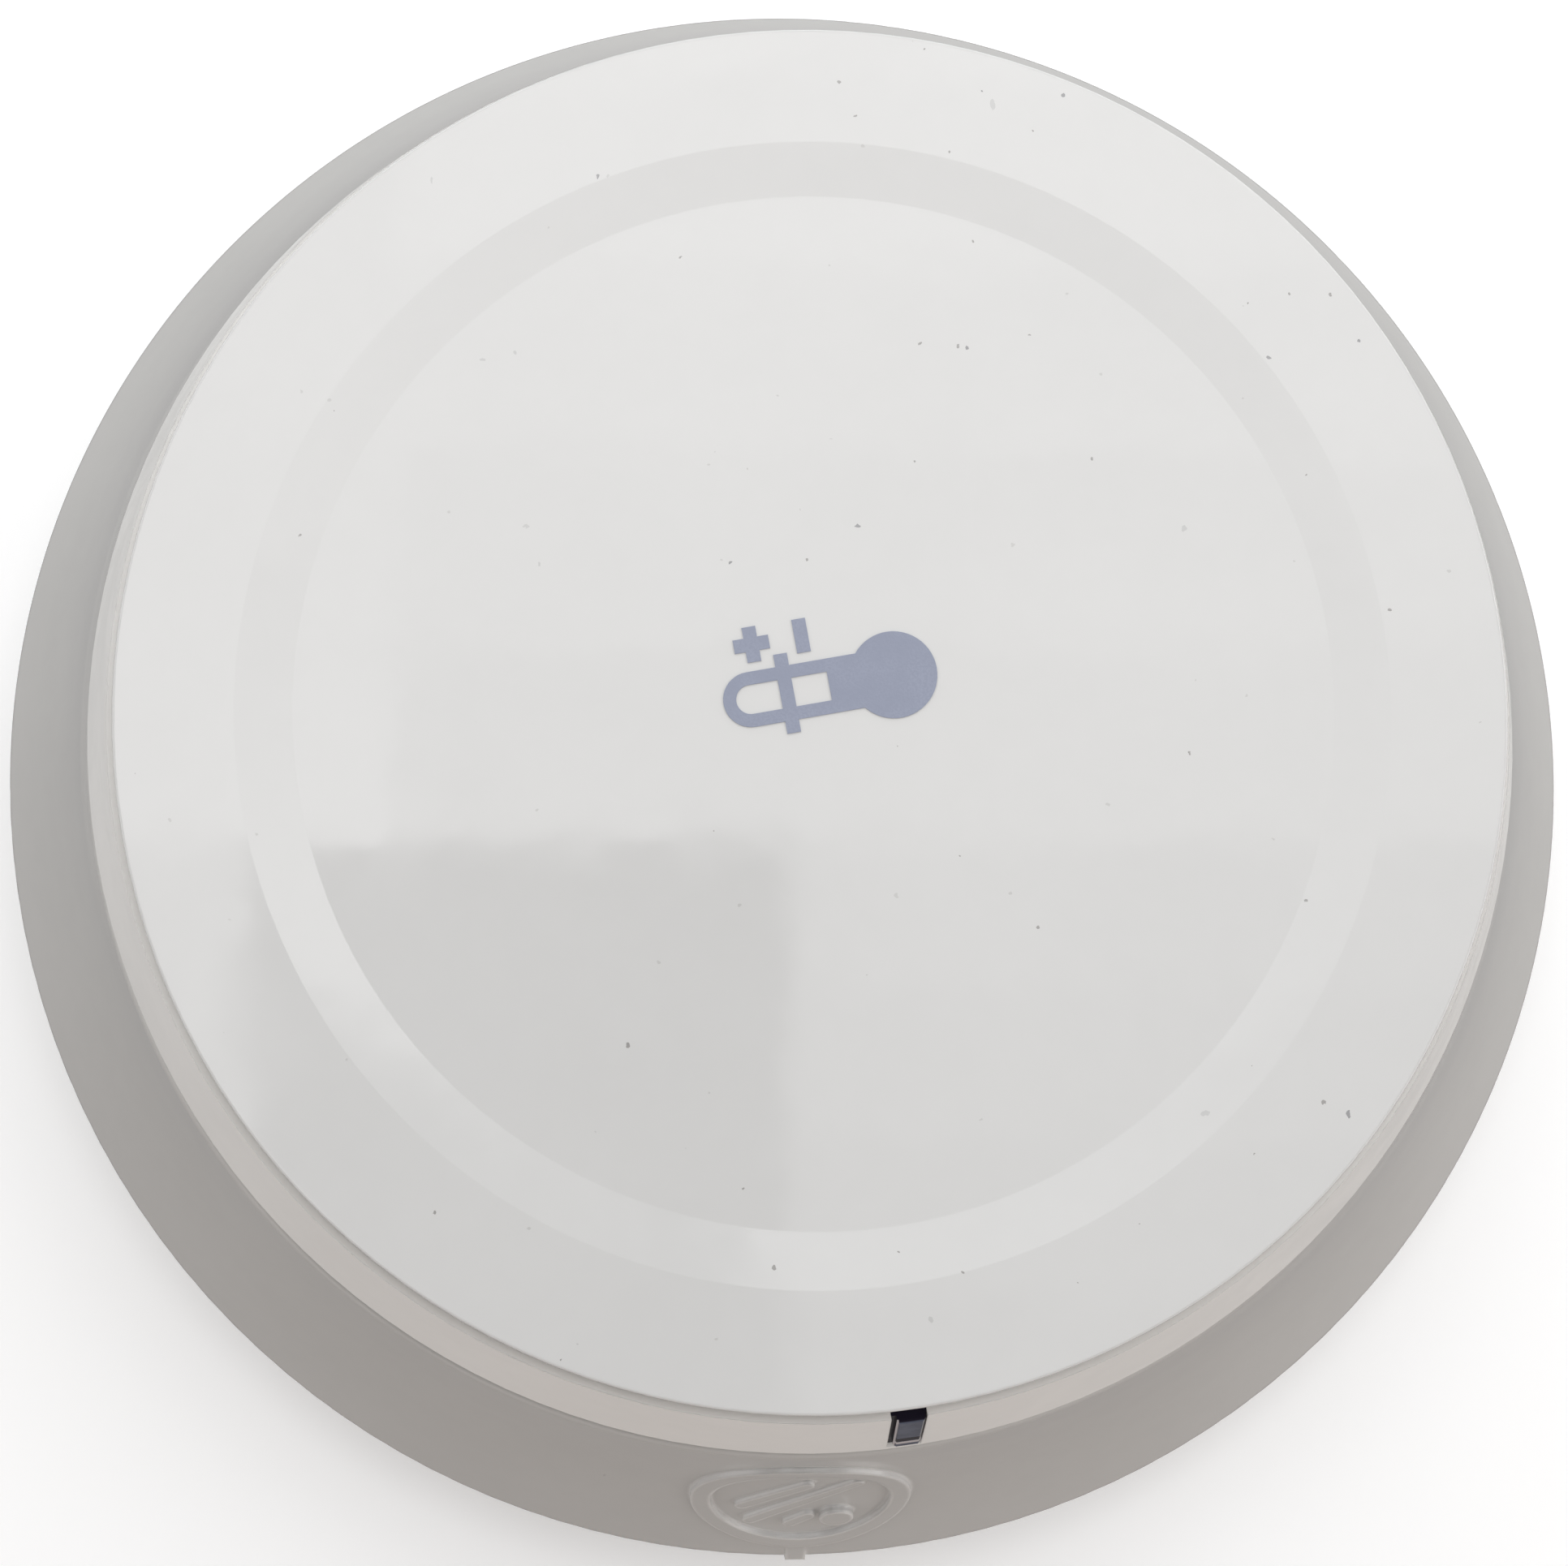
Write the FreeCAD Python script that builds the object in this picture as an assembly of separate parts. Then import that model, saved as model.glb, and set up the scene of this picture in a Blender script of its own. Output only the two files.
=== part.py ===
import FreeCAD, Part
import math
import os

# Ceiling heat alarm, in millimetres. It lies on its back: the origin is the centre of the ceiling face,
# +Z points out of the front, and the raised emblem is at the bottom, towards -Y.

V = FreeCAD.Vector
UP = V(0, 0, 1)

# Flared housing
BASE_R = 60.0              # outer radius at the foot of the flare
SKIRT_H = 11.0             # height of the straight skirt behind the flare
SKIRT_DRAFT = 0.3          # how much the skirt narrows towards the ceiling
SKIRT_LIFT = 0.8           # gap between the skirt and the ceiling
FLARE_RADIUS = 57.7        # radius of the concave flare
FLARE_FOOT_DEG = 39.4      # lean of the flare from vertical at its foot
FLARE_H = 18.6             # height of the flare
SHELL_T = 2.2              # wall of the housing
FOOT_ROUND = 0.8           # rounding where flare and skirt meet
RIM_ROUND = 0.6            # rounding of the housing's upper rim
RIM_T = 2.0                # thickness of the inward rim at the top of the housing
RIM_W = 4.25               # width of that rim
LEDGE_T = 2.0              # seat ring for the back cover
LEDGE_W = 3.0

# Bezel and front disc
AIR_GAP = 3.8              # height of the air inlet between housing and bezel
BEZEL_SETBACK = 0.82       # how far the bezel's foot stands inside the housing's rim
BEZEL_H = 9.55
BEZEL_LEAN_DEG = 20.07     # lean of the bezel's face from vertical
BEZEL_T = 1.8
BEZEL_LAND = 0.49          # width of the bezel's top edge
BEZEL_CHAMFER = 0.45       # fall of that edge towards the disc
BEZEL_ROUND = 0.45         # rounding of the bezel's foot
DISC_GAP = 0.31            # clearance round the disc
DISC_PROUD = 2.15          # how far the disc stands above the bezel
DISC_T = 1.8
DISC_EDGE = 0.2            # rounding of the disc's edge
DISC_SKIRT_H = 3.7         # skirt below the disc's plate
DISC_SKIRT_T = 1.4
DISC_TRAVEL = 1.0
DISH_R = 33.4              # recessed middle of the disc
DISH_SLOPE_W = 3.6         # width of the slope round it
DISH_DEPTH = 0.3

# Mounting plate and bayonet
PLATE_T = 2.2
PLATE_GAP = 0.7            # clearance between the plate and the housing's skirt
PLATE_CHAMFER = 0.4
OPENING_R = 14.0           # centre opening for a cable or ceiling box
COLLAR_T = 1.6
COLLAR_H = 1.2
SLOT_W = 4.4               # ceiling screw slots
SLOT_L = 9.0
SLOT_SPACING_X = 60.0
SLOT_SPACING_Y = 80.0
SLOT_SEAT_W = 8.6
SLOT_SEAT_DEPTH = 0.9
PLATE_RIB_H = 1.2
PLATE_RIB_W = 1.6
PLATE_RIB_COUNT = 8
GROOVE_W = 1.2
GROOVE_DEPTH = 0.6
HOOK_COUNT = 4
HOOK_START_DEG = 45.0
HOOK_SPACE = 5.0           # room between the plate and the back cover
HOOK_WALL_T = 1.8
HOOK_REACH = 2.6           # outward reach of a hook's lip
HOOK_LIP_T = 1.5
HOOK_ROOM = 0.8            # between a hook and the back cover
TAB_DEG = 14.0             # width of a bayonet tab
TAB_GAP = 0.35             # clearance round a tab
TAB_RING_T = 1.5           # wall that carries the tabs
TAB_OVERHANG = 1.1         # between a hook's lip and that wall
TAB_END_DEG = 0.4          # angle between a locked tab and the hook's end
STOP_DEG = 1.4
TAB_RING_IN = 2.9          # between that wall and the skirt
DETENT_H = 0.2
DETENT_IN = 1.05           # between a detent bump and the edges of its finger
SLIT_W = 0.7

# Back cover
COVER_T = 2.0
COVER_GAP = 0.3
SCREW_R = 1.5              # housing screws
SCREW_HEAD_R = 2.9
SCREW_HEAD_H = 1.2
SCREW_L = 9.0
SCREW_COUNT = 3
SCREW_CIRCLE_IN = 8.5      # distance of the screws inside the skirt
SCREW_FIT = 0.05           # clearance round a screw
BOSS_WALL = 1.9
BOSS_RIB_T = 1.6

# Circuit board
STANDOFF_H = 12.8
STANDOFF_R = 3.0
BOARD_T = 1.6
BOARD_GAP = 2.5            # between the board's edge and the rim of the housing
BOARD_SCREW_R = 1.1
BOARD_SCREW_HEAD_R = 2.2
BOARD_SCREW_HEAD_H = 1.5
BOARD_SCREW_L = 8.0
STANDOFF_IN = 3.6          # distance of the standoffs inside the board's edge
STANDOFF_DEGS = (61.2, 114.0, 246.0, 298.8)

# Battery
CELL_R = 8.5
CELL_L = 44.2
CELL_BUTTON_R = 3.0
CELL_BUTTON_H = 0.8
CELL_IN = 16.0             # distance of the battery's axis inside the board's edge
PAD_T = 0.6
PAD_W = 8.0
CRADLE_T = 2.4
CRADLE_Y = 14.0
SADDLE_DROP = 2.8          # how far the saddles end below the battery's axis
STOP_DROP = 4.2            # the same for its end stops
CELL_GAP = 0.6             # between the battery and the board's edge
TAB_STRIP_W = 5.0
TAB_STRIP_T = 0.2
TAB_STRIP_LAP = 4.0

# Sounder
SOUNDER_IN = 17.5          # distance of the sounder's axis inside the board's edge
SOUNDER_Y = 2.0
SOUNDER_R = 15.5
SOUNDER_H = 8.8
SOUNDER_T = 1.3
SOUNDER_HOLE_R = 3.0
PIEZO_R = 13.5
PIEZO_T = 0.25
PIEZO_Z = 3.8              # height of the piezo disc above the board
CERAMIC_R = 9.5
CERAMIC_T = 0.2
CLAMP_T = 1.5
CONTACT_R = 0.35

# Inlet cage and its deck
CAGE_RING_T = 1.2
FIN_COUNT = 40
FIN_T = 1.0
FIN_L = 2.0
DECK_T = 2.0
DECK_LAP = 0.4             # how far the deck stands above the bezel's foot
DECK_INSET = 0.1           # between deck and bezel
LEG_COUNT = 4
LEG_W = 8.0
LEG_T = 1.4
LEG_BARB = 1.3
LEG_BARB_H = 1.0
LEG_GAP = 0.3
NIB_COUNT = 4
NIB_START_DEG = 30.0
NIB_DEG = 7.0
NIB_ROOM_DEG = 1.0         # angle free at each end of a nib
NIB_H = 0.8
NIB_REACH = 0.55
GRILLE_W = 2.0
GRILLE_L = 15.0
GRILLE_STEP = 4.0
GRILLE_COUNT = 5

# Guides, springs and test switch
PUSH_R = 3.5               # push rod in the middle of the disc
PUSH_GAP = 0.3
BUSH_T = 1.3
BUSH_H = 3.0
GUIDE_IN = 7.66            # distance of the guide legs and springs inside the disc's edge
GUIDE_COUNT = 3
GUIDE_START_DEG = 90.0
SPRING_START_DEG = 30.0
GUIDE_W = 5.0
GUIDE_T = 1.6
GUIDE_GAP = 0.5
GUIDE_BARB = 1.2
GUIDE_BARB_H = 1.6
GUIDE_BARB_EDGE = 1.0      # straight edge of the barb
PEG_R = 1.6
PEG_H = 2.0
SPRING_R = 2.4             # mean radius of a return spring
SPRING_WIRE_R = 0.3
SPRING_TURNS = 5.0
SWITCH_W = 6.0
SWITCH_H = 3.5
SWITCH_PIN_Y = 2.0
PLUNGER_R = 1.75
PLUNGER_FIT = 0.08
PLUNGER_H = 1.4            # height of the plunger above its body
PLUNGER_TOUCH = 0.05       # gap between push rod and plunger
SPARE_TRAVEL = 0.3
DISC_RIB_R = 20.0
DISC_RIB_T = 1.4
DISC_RIB_H = 1.4
DISC_RIB_COUNT = 6

# Indicator
LENS_DEG = -82.8           # place of the indicator round the face
NOTCH_W = 2.3
NOTCH_FOOT = 0.9           # bezel left below the notch
LENS_LEFT_GAP = 0.36       # shoulder left of the window's raised block
LENS_RIGHT_GAP = 0.08
LENS_SET = 0.35            # how deep the lens's shoulder lies
LENS_PROUD = 0.2           # how far the raised block stands out
LENS_FOOT_GAP = 1.0
LENS_EDGE = 0.2
LENS_GAP = 0.1             # clearance between the lens and the deck
PIPE_R = 1.2
PIPE_IN = 1.0              # between the pipe and the board's edge
PIPE_ARM_H = 2.0
PIPE_ARM_LIFT = 0.4
LED_H = 0.8
LED_GAP = 0.3

# Heat sensor
BEAD_R = 1.2
THERMISTOR_DEG = 100.0
THERMISTOR_IN = 1.7        # distance inside the board's edge
LEAD_R = 0.25
LEAD_STEP = 1.6
SLEEVE_R = 0.6
SLEEVE_H = 5.5
BEAD_BELOW_DECK = 2.2

# Radio, processor and power parts
RADIO_X = 3.0
RADIO_IN = 22.0            # distance of the radio's middle inside the board's edge
RADIO_W = 16.0
RADIO_L = 20.0
RADIO_T = 0.8
SHIELD_W = 13.0
SHIELD_H = 2.4
SHIELD_T = 0.3
ANTENNA_R = 0.4
ANTENNA_IN = 3.0
ANTENNA_UP = 3.2
ANTENNA_POST_R = 0.6
ANTENNA_POST_OVER = 0.3    # how far a post stands above the wire
ANTENNA_FROM_DEG = 207.0
ANTENNA_TO_DEG = 238.0
CHIP_X = -0.5
CHIP_Y = 13.5
CHIP_W = 7.0
CHIP_H = 1.4
CHIP_PINS = 8              # on each side
CHIP_PIN_T = 0.35
COIL_X = 9.5
COIL_Y = 12.0
COIL_R = 4.0
COIL_H = 6.0
COIL_WAIST_R = 3.4
COIL_FLANGE_T = 1.0
CAN_R = 3.15
CAN_H = 7.5
CAN_FOOT_H = 1.25
CAN_IN = 15.0              # distance of the capacitors' axes inside the board's edge
CAN_STEP = 8.4

# Power slider in the back cover
SLIDER_Y = -4.0
SLIDER_TRAVEL = 2.0
KNOB_L = 4.0
KNOB_W = 5.0
KNOB_GAP = 0.4
KNOB_GROOVE_W = 0.5
KNOB_GROOVE_STEP = 1.0
SLIDER_L = 12.0
SLIDER_W = 8.0
SLIDER_T = 1.2
RAIL_T = 1.2
RAIL_LIP = 0.8
STEM_W = 3.4
FORK_GAP = 0.1
NUB_W = 1.5
NUB_H = 2.2
SLIDE_BODY_L = 8.6
SLIDE_BODY_W = 4.4
SLIDE_BODY_H = 3.6
NUB_DEPTH = 1.0

# Raised emblem and rib on the housing
EMBLEM_R = 7.95
EMBLEM_BAND = 1.45
EMBLEM_UP = 10.12          # distance of its centre up the flare from the foot
EMBLEM_H = 0.42
EMBLEM_ROOM = 1.5          # width of the skin it is cut from, in emblem widths
STROKE_H = 0.34
STROKE_W = 1.05
STROKES = (                # ends of the strokes, in sixths of the emblem's inner radius
    (-3.3, -3.3, 3.6, 3.6),
    (-3.9, -0.8, 0.3, 3.4),
    (-0.6, -3.7, 0.6, -2.5),
)
DOT_R = 1.25
DOT_AT = (2.5, -2.5)       # in the same sixths
DOT_H = 0.6
MARK_RIB_W = 1.5
MARK_RIB_OUT = 0.3
MARK_RIB_UP = 1.15

# Printed thermometer symbol
PRINT_T = 0.06
SYMBOL_TILT_DEG = 10.16
SYMBOL_X = -4.32           # rounded end of the tube
SYMBOL_Y = 0.21
TUBE_L = 9.3
TUBE_HALF_W = 1.78
TUBE_LINE = 0.84
BULB_R = 2.82
FILL_START = 5.1
TICK_AT = 2.35
TICK_L = 5.17
TICK_W = 0.89
PLUS_AT = (0.66, 3.5)
PLUS_ARM = 1.15
MINUS_AT = (3.9, 3.52)
MINUS_L = 2.2

# Heights
COVER_Z = PLATE_T + HOOK_SPACE
COVER_TOP = COVER_Z + COVER_T
BOARD_Z = COVER_TOP + STANDOFF_H
BOARD_TOP = BOARD_Z + BOARD_T
RIM_Z = SKIRT_H + FLARE_H
BEZEL_Z = RIM_Z + AIR_GAP
DECK_Z = BEZEL_Z + DECK_LAP
DECK_TOP = DECK_Z + DECK_T
BEZEL_TOP = BEZEL_Z + BEZEL_H
DISC_TOP = BEZEL_TOP + DISC_PROUD
DISC_UNDER = DISC_TOP - DISC_T
DISC_SKIRT_Z = DISC_UNDER - DISC_SKIRT_H
SWITCH_TOP = BOARD_TOP + SWITCH_H
PLUNGER_TOP = SWITCH_TOP + PLUNGER_H

# Radii
FLARE_FOOT = math.radians(FLARE_FOOT_DEG)
FLARE_CENTRE_R = BASE_R + FLARE_RADIUS * math.cos(FLARE_FOOT)
FLARE_CENTRE_Z = SKIRT_H + FLARE_RADIUS * math.sin(FLARE_FOOT)
BEZEL_LEAN = math.tan(math.radians(BEZEL_LEAN_DEG))


def flare_r(z, depth=0.0):
    """Radius of the flare at height z, or of the surface that lies depth inside it."""
    radius = FLARE_RADIUS + depth
    return FLARE_CENTRE_R - math.sqrt(radius ** 2 - (FLARE_CENTRE_Z - z) ** 2)


def bezel_r(z):
    """Outer radius of the bezel at height z."""
    return BEZEL_FOOT_R - (z - BEZEL_Z) * BEZEL_LEAN


RIM_R = flare_r(RIM_Z)
RIM_IN_R = RIM_R - RIM_W
SKIRT_IN_R = BASE_R - SKIRT_DRAFT - SHELL_T
PLATE_R = SKIRT_IN_R - PLATE_GAP
COVER_R = SKIRT_IN_R - COVER_GAP
BEZEL_FOOT_R = RIM_R - BEZEL_SETBACK
BEZEL_TOP_R = bezel_r(BEZEL_TOP)
BORE_R = BEZEL_TOP_R - BEZEL_LAND
DISC_R = BORE_R - DISC_GAP
GUIDE_R = DISC_R - GUIDE_IN
DECK_R = bezel_r(DECK_TOP) - BEZEL_T + BEZEL_LAND / 2
BOARD_R = RIM_IN_R - BOARD_GAP
CAGE_IN_R = RIM_IN_R - LEG_GAP - LEG_T
TAB_RING_R = SKIRT_IN_R - TAB_RING_T - TAB_RING_IN
HOOK_LIP_R = TAB_RING_R - TAB_OVERHANG
HOOK_R = HOOK_LIP_R - HOOK_REACH
SCREW_CIRCLE_R = SKIRT_IN_R - SCREW_CIRCLE_IN
SOUNDER_X = -(BOARD_R - SOUNDER_IN)
CELL_X = BOARD_R - CELL_IN
RADIO_Y = -(BOARD_R - RADIO_IN)
CAN_Y = BOARD_R - CAN_IN
CELL_Z = COVER_TOP + PAD_T + CELL_R
CELL_HALF_L = (CELL_L + CELL_BUTTON_H) / 2
PIPE_AT_R = BOARD_R - PIPE_IN
SCREW_SEAT_Z = COVER_Z + SCREW_HEAD_H


def save(name, shape):
    """Writes one node, and prints how many solids it has."""
    solids = shape.Solids
    if not solids or not all(s.isValid() for s in solids):
        raise ValueError("bad solid in " + name)
    whole = solids[0] if len(solids) == 1 else Part.makeCompound(solids)
    whole.exportStep("parts/" + name + ".step")
    print(name, len(solids), round(sum(s.Volume for s in solids), 2))


def join(shapes):
    """One shape from many that touch."""
    return shapes[0].multiFuse(shapes[1:]).removeSplitter()


def group(shapes):
    return Part.makeCompound(shapes)


def rod(r, z0, z1, x=0.0, y=0.0):
    return Part.makeCylinder(r, z1 - z0, V(x, y, z0))


def tube(r_in, r_out, z0, z1, x=0.0, y=0.0):
    return rod(r_out, z0, z1, x, y).cut(rod(r_in, z0, z1, x, y))


def block(x0, x1, y0, y1, z0, z1):
    return Part.makeBox(x1 - x0, y1 - y0, z1 - z0, V(x0, y0, z0))


def centred(x, y, width, length, z0, z1):
    """A block centred on x, y: width along X, length along Y."""
    return block(x - width / 2, x + width / 2, y - length / 2, y + length / 2, z0, z1)


def spun(shape, degrees):
    """A copy turned about the main axis."""
    copy = shape.copy()
    copy.rotate(V(0, 0, 0), UP, degrees)
    return copy


def around(shape, count, start=0.0):
    return [spun(shape, start + i * 360.0 / count) for i in range(count)]


def lathe(points, degrees=360.0):
    """Turns a closed outline of (radius, height) points about the main axis."""
    corners = [V(r, 0, z) for r, z in points]
    face = Part.Face(Part.makePolygon(corners + corners[:1]))
    return face.revolve(V(0, 0, 0), UP, degrees)


def sector(r_in, r_out, z0, z1, start_deg, end_deg):
    """A piece of a ring between two angles."""
    outline = [(r_in, z0), (r_out, z0), (r_out, z1), (r_in, z1)]
    return spun(lathe(outline, end_deg - start_deg), start_deg)


def slot(width, length, z0, z1, x=0.0, y=0.0, along_y=False):
    """A slot with round ends; length is from end to end."""
    half = (length - width) / 2
    body = centred(0, 0, 2 * half, width, z0, z1)
    whole = join([body, rod(width / 2, z0, z1, -half), rod(width / 2, z0, z1, half)])
    if along_y:
        whole.rotate(V(0, 0, 0), UP, 90)
    whole.translate(V(x, y, 0))
    return whole


def circle_edges(shape, r, z):
    """The circular edges of radius r about the main axis at height z."""
    found = []
    for edge in shape.Edges:
        curve = edge.Curve
        if isinstance(curve, Part.Circle) and abs(curve.Radius - r) < 1e-4:
            centre = curve.Center
            if abs(centre.z - z) < 1e-4 and math.hypot(centre.x, centre.y) < 1e-4:
                found.append(edge)
    return found


def polar(r, degrees):
    a = math.radians(degrees)
    return r * math.cos(a), r * math.sin(a)


STANDOFFS = [polar(BOARD_R - STANDOFF_IN, degrees) for degrees in STANDOFF_DEGS]


def cross(x, y, r, z0, z1):
    """Recess for a cross-head driver, as long as a shank of radius r is wide."""
    return join([centred(x, y, 2 * r, r / 2, z0, z1), centred(x, y, r / 2, 2 * r, z0, z1)])


# Mounting plate
def make_mounting_plate():
    outline = [
        (OPENING_R, 0),
        (PLATE_R - PLATE_CHAMFER, 0),
        (PLATE_R, PLATE_CHAMFER),
        (PLATE_R, PLATE_T),
        (OPENING_R + COLLAR_T, PLATE_T),
        (OPENING_R + COLLAR_T, PLATE_T + COLLAR_H),
        (OPENING_R, PLATE_T + COLLAR_H),
    ]
    plate = lathe(outline)
    rib_start = OPENING_R + COLLAR_T / 2
    rib_end = HOOK_R - HOOK_WALL_T / 2
    rib = block(rib_start, rib_end, -PLATE_RIB_W / 2, PLATE_RIB_W / 2, PLATE_T / 2, PLATE_T + PLATE_RIB_H)
    hook_ring = tube(HOOK_R - HOOK_WALL_T, HOOK_R, PLATE_T / 2, PLATE_T + PLATE_RIB_H)
    ribs = around(rib, PLATE_RIB_COUNT, 180.0 / PLATE_RIB_COUNT)
    plate = join([plate, hook_ring] + ribs + make_hooks())
    for radius in (OPENING_R + 3 * COLLAR_T, HOOK_R - 2 * HOOK_WALL_T):
        plate = plate.cut(tube(radius - GROOVE_W, radius, 0, GROOVE_DEPTH))
    top = PLATE_T + PLATE_RIB_H
    seat_z = PLATE_T - SLOT_SEAT_DEPTH
    for side in (-1, 1):
        x = side * SLOT_SPACING_X / 2
        y = side * SLOT_SPACING_Y / 2
        seat_l = SLOT_L + SLOT_SEAT_W - SLOT_W
        plate = plate.cut(slot(SLOT_W, SLOT_L, 0, top, x, 0))
        plate = plate.cut(slot(SLOT_SEAT_W, seat_l, seat_z, top, x, 0))
        plate = plate.cut(slot(SLOT_W, SLOT_L, 0, top, 0, y, True))
        plate = plate.cut(slot(SLOT_SEAT_W, seat_l, seat_z, top, 0, y, True))
    return cut_detents(plate)


def make_hooks():
    """Bayonet hooks: a wall, an outward lip and a stop at the locked end."""
    top = COVER_Z - HOOK_ROOM
    half = TAB_DEG / 2 + TAB_END_DEG
    wall = sector(HOOK_R - HOOK_WALL_T, HOOK_R, PLATE_T / 2, top, -half - STOP_DEG, half)
    lip = sector(HOOK_R - HOOK_WALL_T / 2, HOOK_LIP_R, top - HOOK_LIP_T, top, -half - STOP_DEG, half)
    stop = sector(HOOK_R - HOOK_WALL_T / 2, HOOK_LIP_R, PLATE_T / 2, top, -half - STOP_DEG, -half)
    return around(join([wall, lip, stop]), HOOK_COUNT, HOOK_START_DEG)


def cut_detents(plate):
    """Two spring fingers, slit free of the plate, each with a low bump beside a locked tab."""
    r_in = HOOK_R + TAB_GAP
    r_out = HOOK_LIP_R + SLIT_W
    start = TAB_DEG / 2 - 2 * STOP_DEG
    end = TAB_DEG / 2 + 3 * STOP_DEG
    end_slit_deg = math.degrees(SLIT_W / r_out)
    for at in (HOOK_START_DEG, HOOK_START_DEG + 180.0):
        slits = [
            sector(r_in, r_in + SLIT_W, 0, PLATE_T, start, end),
            sector(r_out - SLIT_W, r_out, 0, PLATE_T, start, end),
            sector(r_in, r_out, 0, PLATE_T, end, end + end_slit_deg),
        ]
        plate = plate.cut(spun(join(slits), at))
        bump_in = r_in + DETENT_IN
        bump_out = r_out - DETENT_IN
        bump_z = PLATE_T + DETENT_H
        bump = sector(bump_in, bump_out, PLATE_T / 2, bump_z, end - 2 * STOP_DEG, end - STOP_DEG)
        plate = plate.fuse(spun(bump, at))
    return plate.removeSplitter()


# Back cover
def make_back_cover():
    tab_z0 = PLATE_T + TAB_GAP
    tab_z1 = COVER_Z - HOOK_ROOM - HOOK_LIP_T - TAB_GAP
    ring = tube(TAB_RING_R, TAB_RING_R + TAB_RING_T, tab_z0, COVER_TOP - COVER_T / 2)
    tab = sector(HOOK_R + TAB_GAP, TAB_RING_R + TAB_RING_T / 2, tab_z0, tab_z1, -TAB_DEG / 2, TAB_DEG / 2)
    pieces = [rod(COVER_R, COVER_Z, COVER_TOP), ring]
    pieces += around(tab, HOOK_COUNT, HOOK_START_DEG)
    pieces += [rod(STANDOFF_R, COVER_TOP - COVER_T / 2, BOARD_Z, x, y) for x, y in STANDOFFS]
    cover = join(pieces + make_cradle() + make_rails())
    for x, y in STANDOFFS:
        bottom = BOARD_TOP - BOARD_SCREW_L - SCREW_FIT
        cover = cover.cut(rod(BOARD_SCREW_R + SCREW_FIT, bottom, BOARD_Z, x, y))
    for at in range(SCREW_COUNT):
        x, y = polar(SCREW_CIRCLE_R, at * 360.0 / SCREW_COUNT)
        cover = cover.cut(rod(SCREW_R + SCREW_FIT, COVER_Z, COVER_TOP, x, y))
        cover = cover.cut(rod(SCREW_HEAD_R + SCREW_FIT, COVER_Z, SCREW_SEAT_Z, x, y))
    window_l = KNOB_L + SLIDER_TRAVEL + 2 * KNOB_GAP
    window_w = KNOB_W + 2 * KNOB_GAP
    window_x = SLIDER_TRAVEL / 2
    return cover.cut(centred(window_x, SLIDER_Y, window_l, window_w, COVER_Z, COVER_TOP))


def make_cradle():
    """Two saddles and two end stops for the battery."""
    low = COVER_TOP - COVER_T / 2
    cell = Part.makeCylinder(CELL_R + SCREW_FIT, 2 * CELL_HALF_L, V(CELL_X, -CELL_HALF_L, CELL_Z), V(0, 1, 0))
    pieces = []
    for y in (-CRADLE_Y, CRADLE_Y):
        saddle = centred(CELL_X, y, 2 * CELL_R, CRADLE_T, low, CELL_Z - SADDLE_DROP)
        pieces.append(saddle.cut(cell))
    stop_y = CELL_HALF_L + CELL_GAP + CRADLE_T / 2
    for y in (-stop_y, stop_y):
        pieces.append(centred(CELL_X, y, CELL_R, CRADLE_T, low, CELL_Z - STOP_DROP))
    return pieces


def make_rails():
    """Two rails with lips that hold the power slider on the cover."""
    length = SLIDER_L + SLIDER_TRAVEL
    floor = COVER_TOP - COVER_T / 2
    lip_z = COVER_TOP + SLIDER_T + 2 * KNOB_GAP
    pieces = []
    for side in (-1, 1):
        inner = side * (SLIDER_W / 2 + KNOB_GAP)
        outer = inner + side * RAIL_T
        edge = inner - side * RAIL_LIP
        low, high = min(inner, outer), max(inner, outer)
        lip_low, lip_high = min(edge, outer), max(edge, outer)
        x0 = SLIDER_TRAVEL / 2 - length / 2
        x1 = x0 + length
        pieces.append(block(x0, x1, SLIDER_Y + low, SLIDER_Y + high, floor, lip_z + SLIDER_T))
        pieces.append(block(x0, x1, SLIDER_Y + lip_low, SLIDER_Y + lip_high, lip_z, lip_z + SLIDER_T))
    return pieces


def make_housing_screws():
    screws = []
    for at in range(SCREW_COUNT):
        x, y = polar(SCREW_CIRCLE_R, at * 360.0 / SCREW_COUNT)
        head = rod(SCREW_HEAD_R, COVER_Z + SCREW_FIT, SCREW_SEAT_Z, x, y)
        shank = rod(SCREW_R, SCREW_SEAT_Z, SCREW_SEAT_Z + SCREW_L, x, y)
        recess = cross(x, y, SCREW_R, COVER_Z, COVER_Z + SCREW_HEAD_H / 2)
        screws.append(join([head, shank]).cut(recess))
    return group(screws)


# Housing
def flare_arc(depth, z0, z1):
    """An arc of the flare's outline, or of the one that lies depth inside it, from z0 up to z1."""
    middle = (z0 + z1) / 2
    ends = [V(flare_r(z, depth), 0, z) for z in (z0, middle, z1)]
    return Part.Arc(*ends).toShape()


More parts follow.
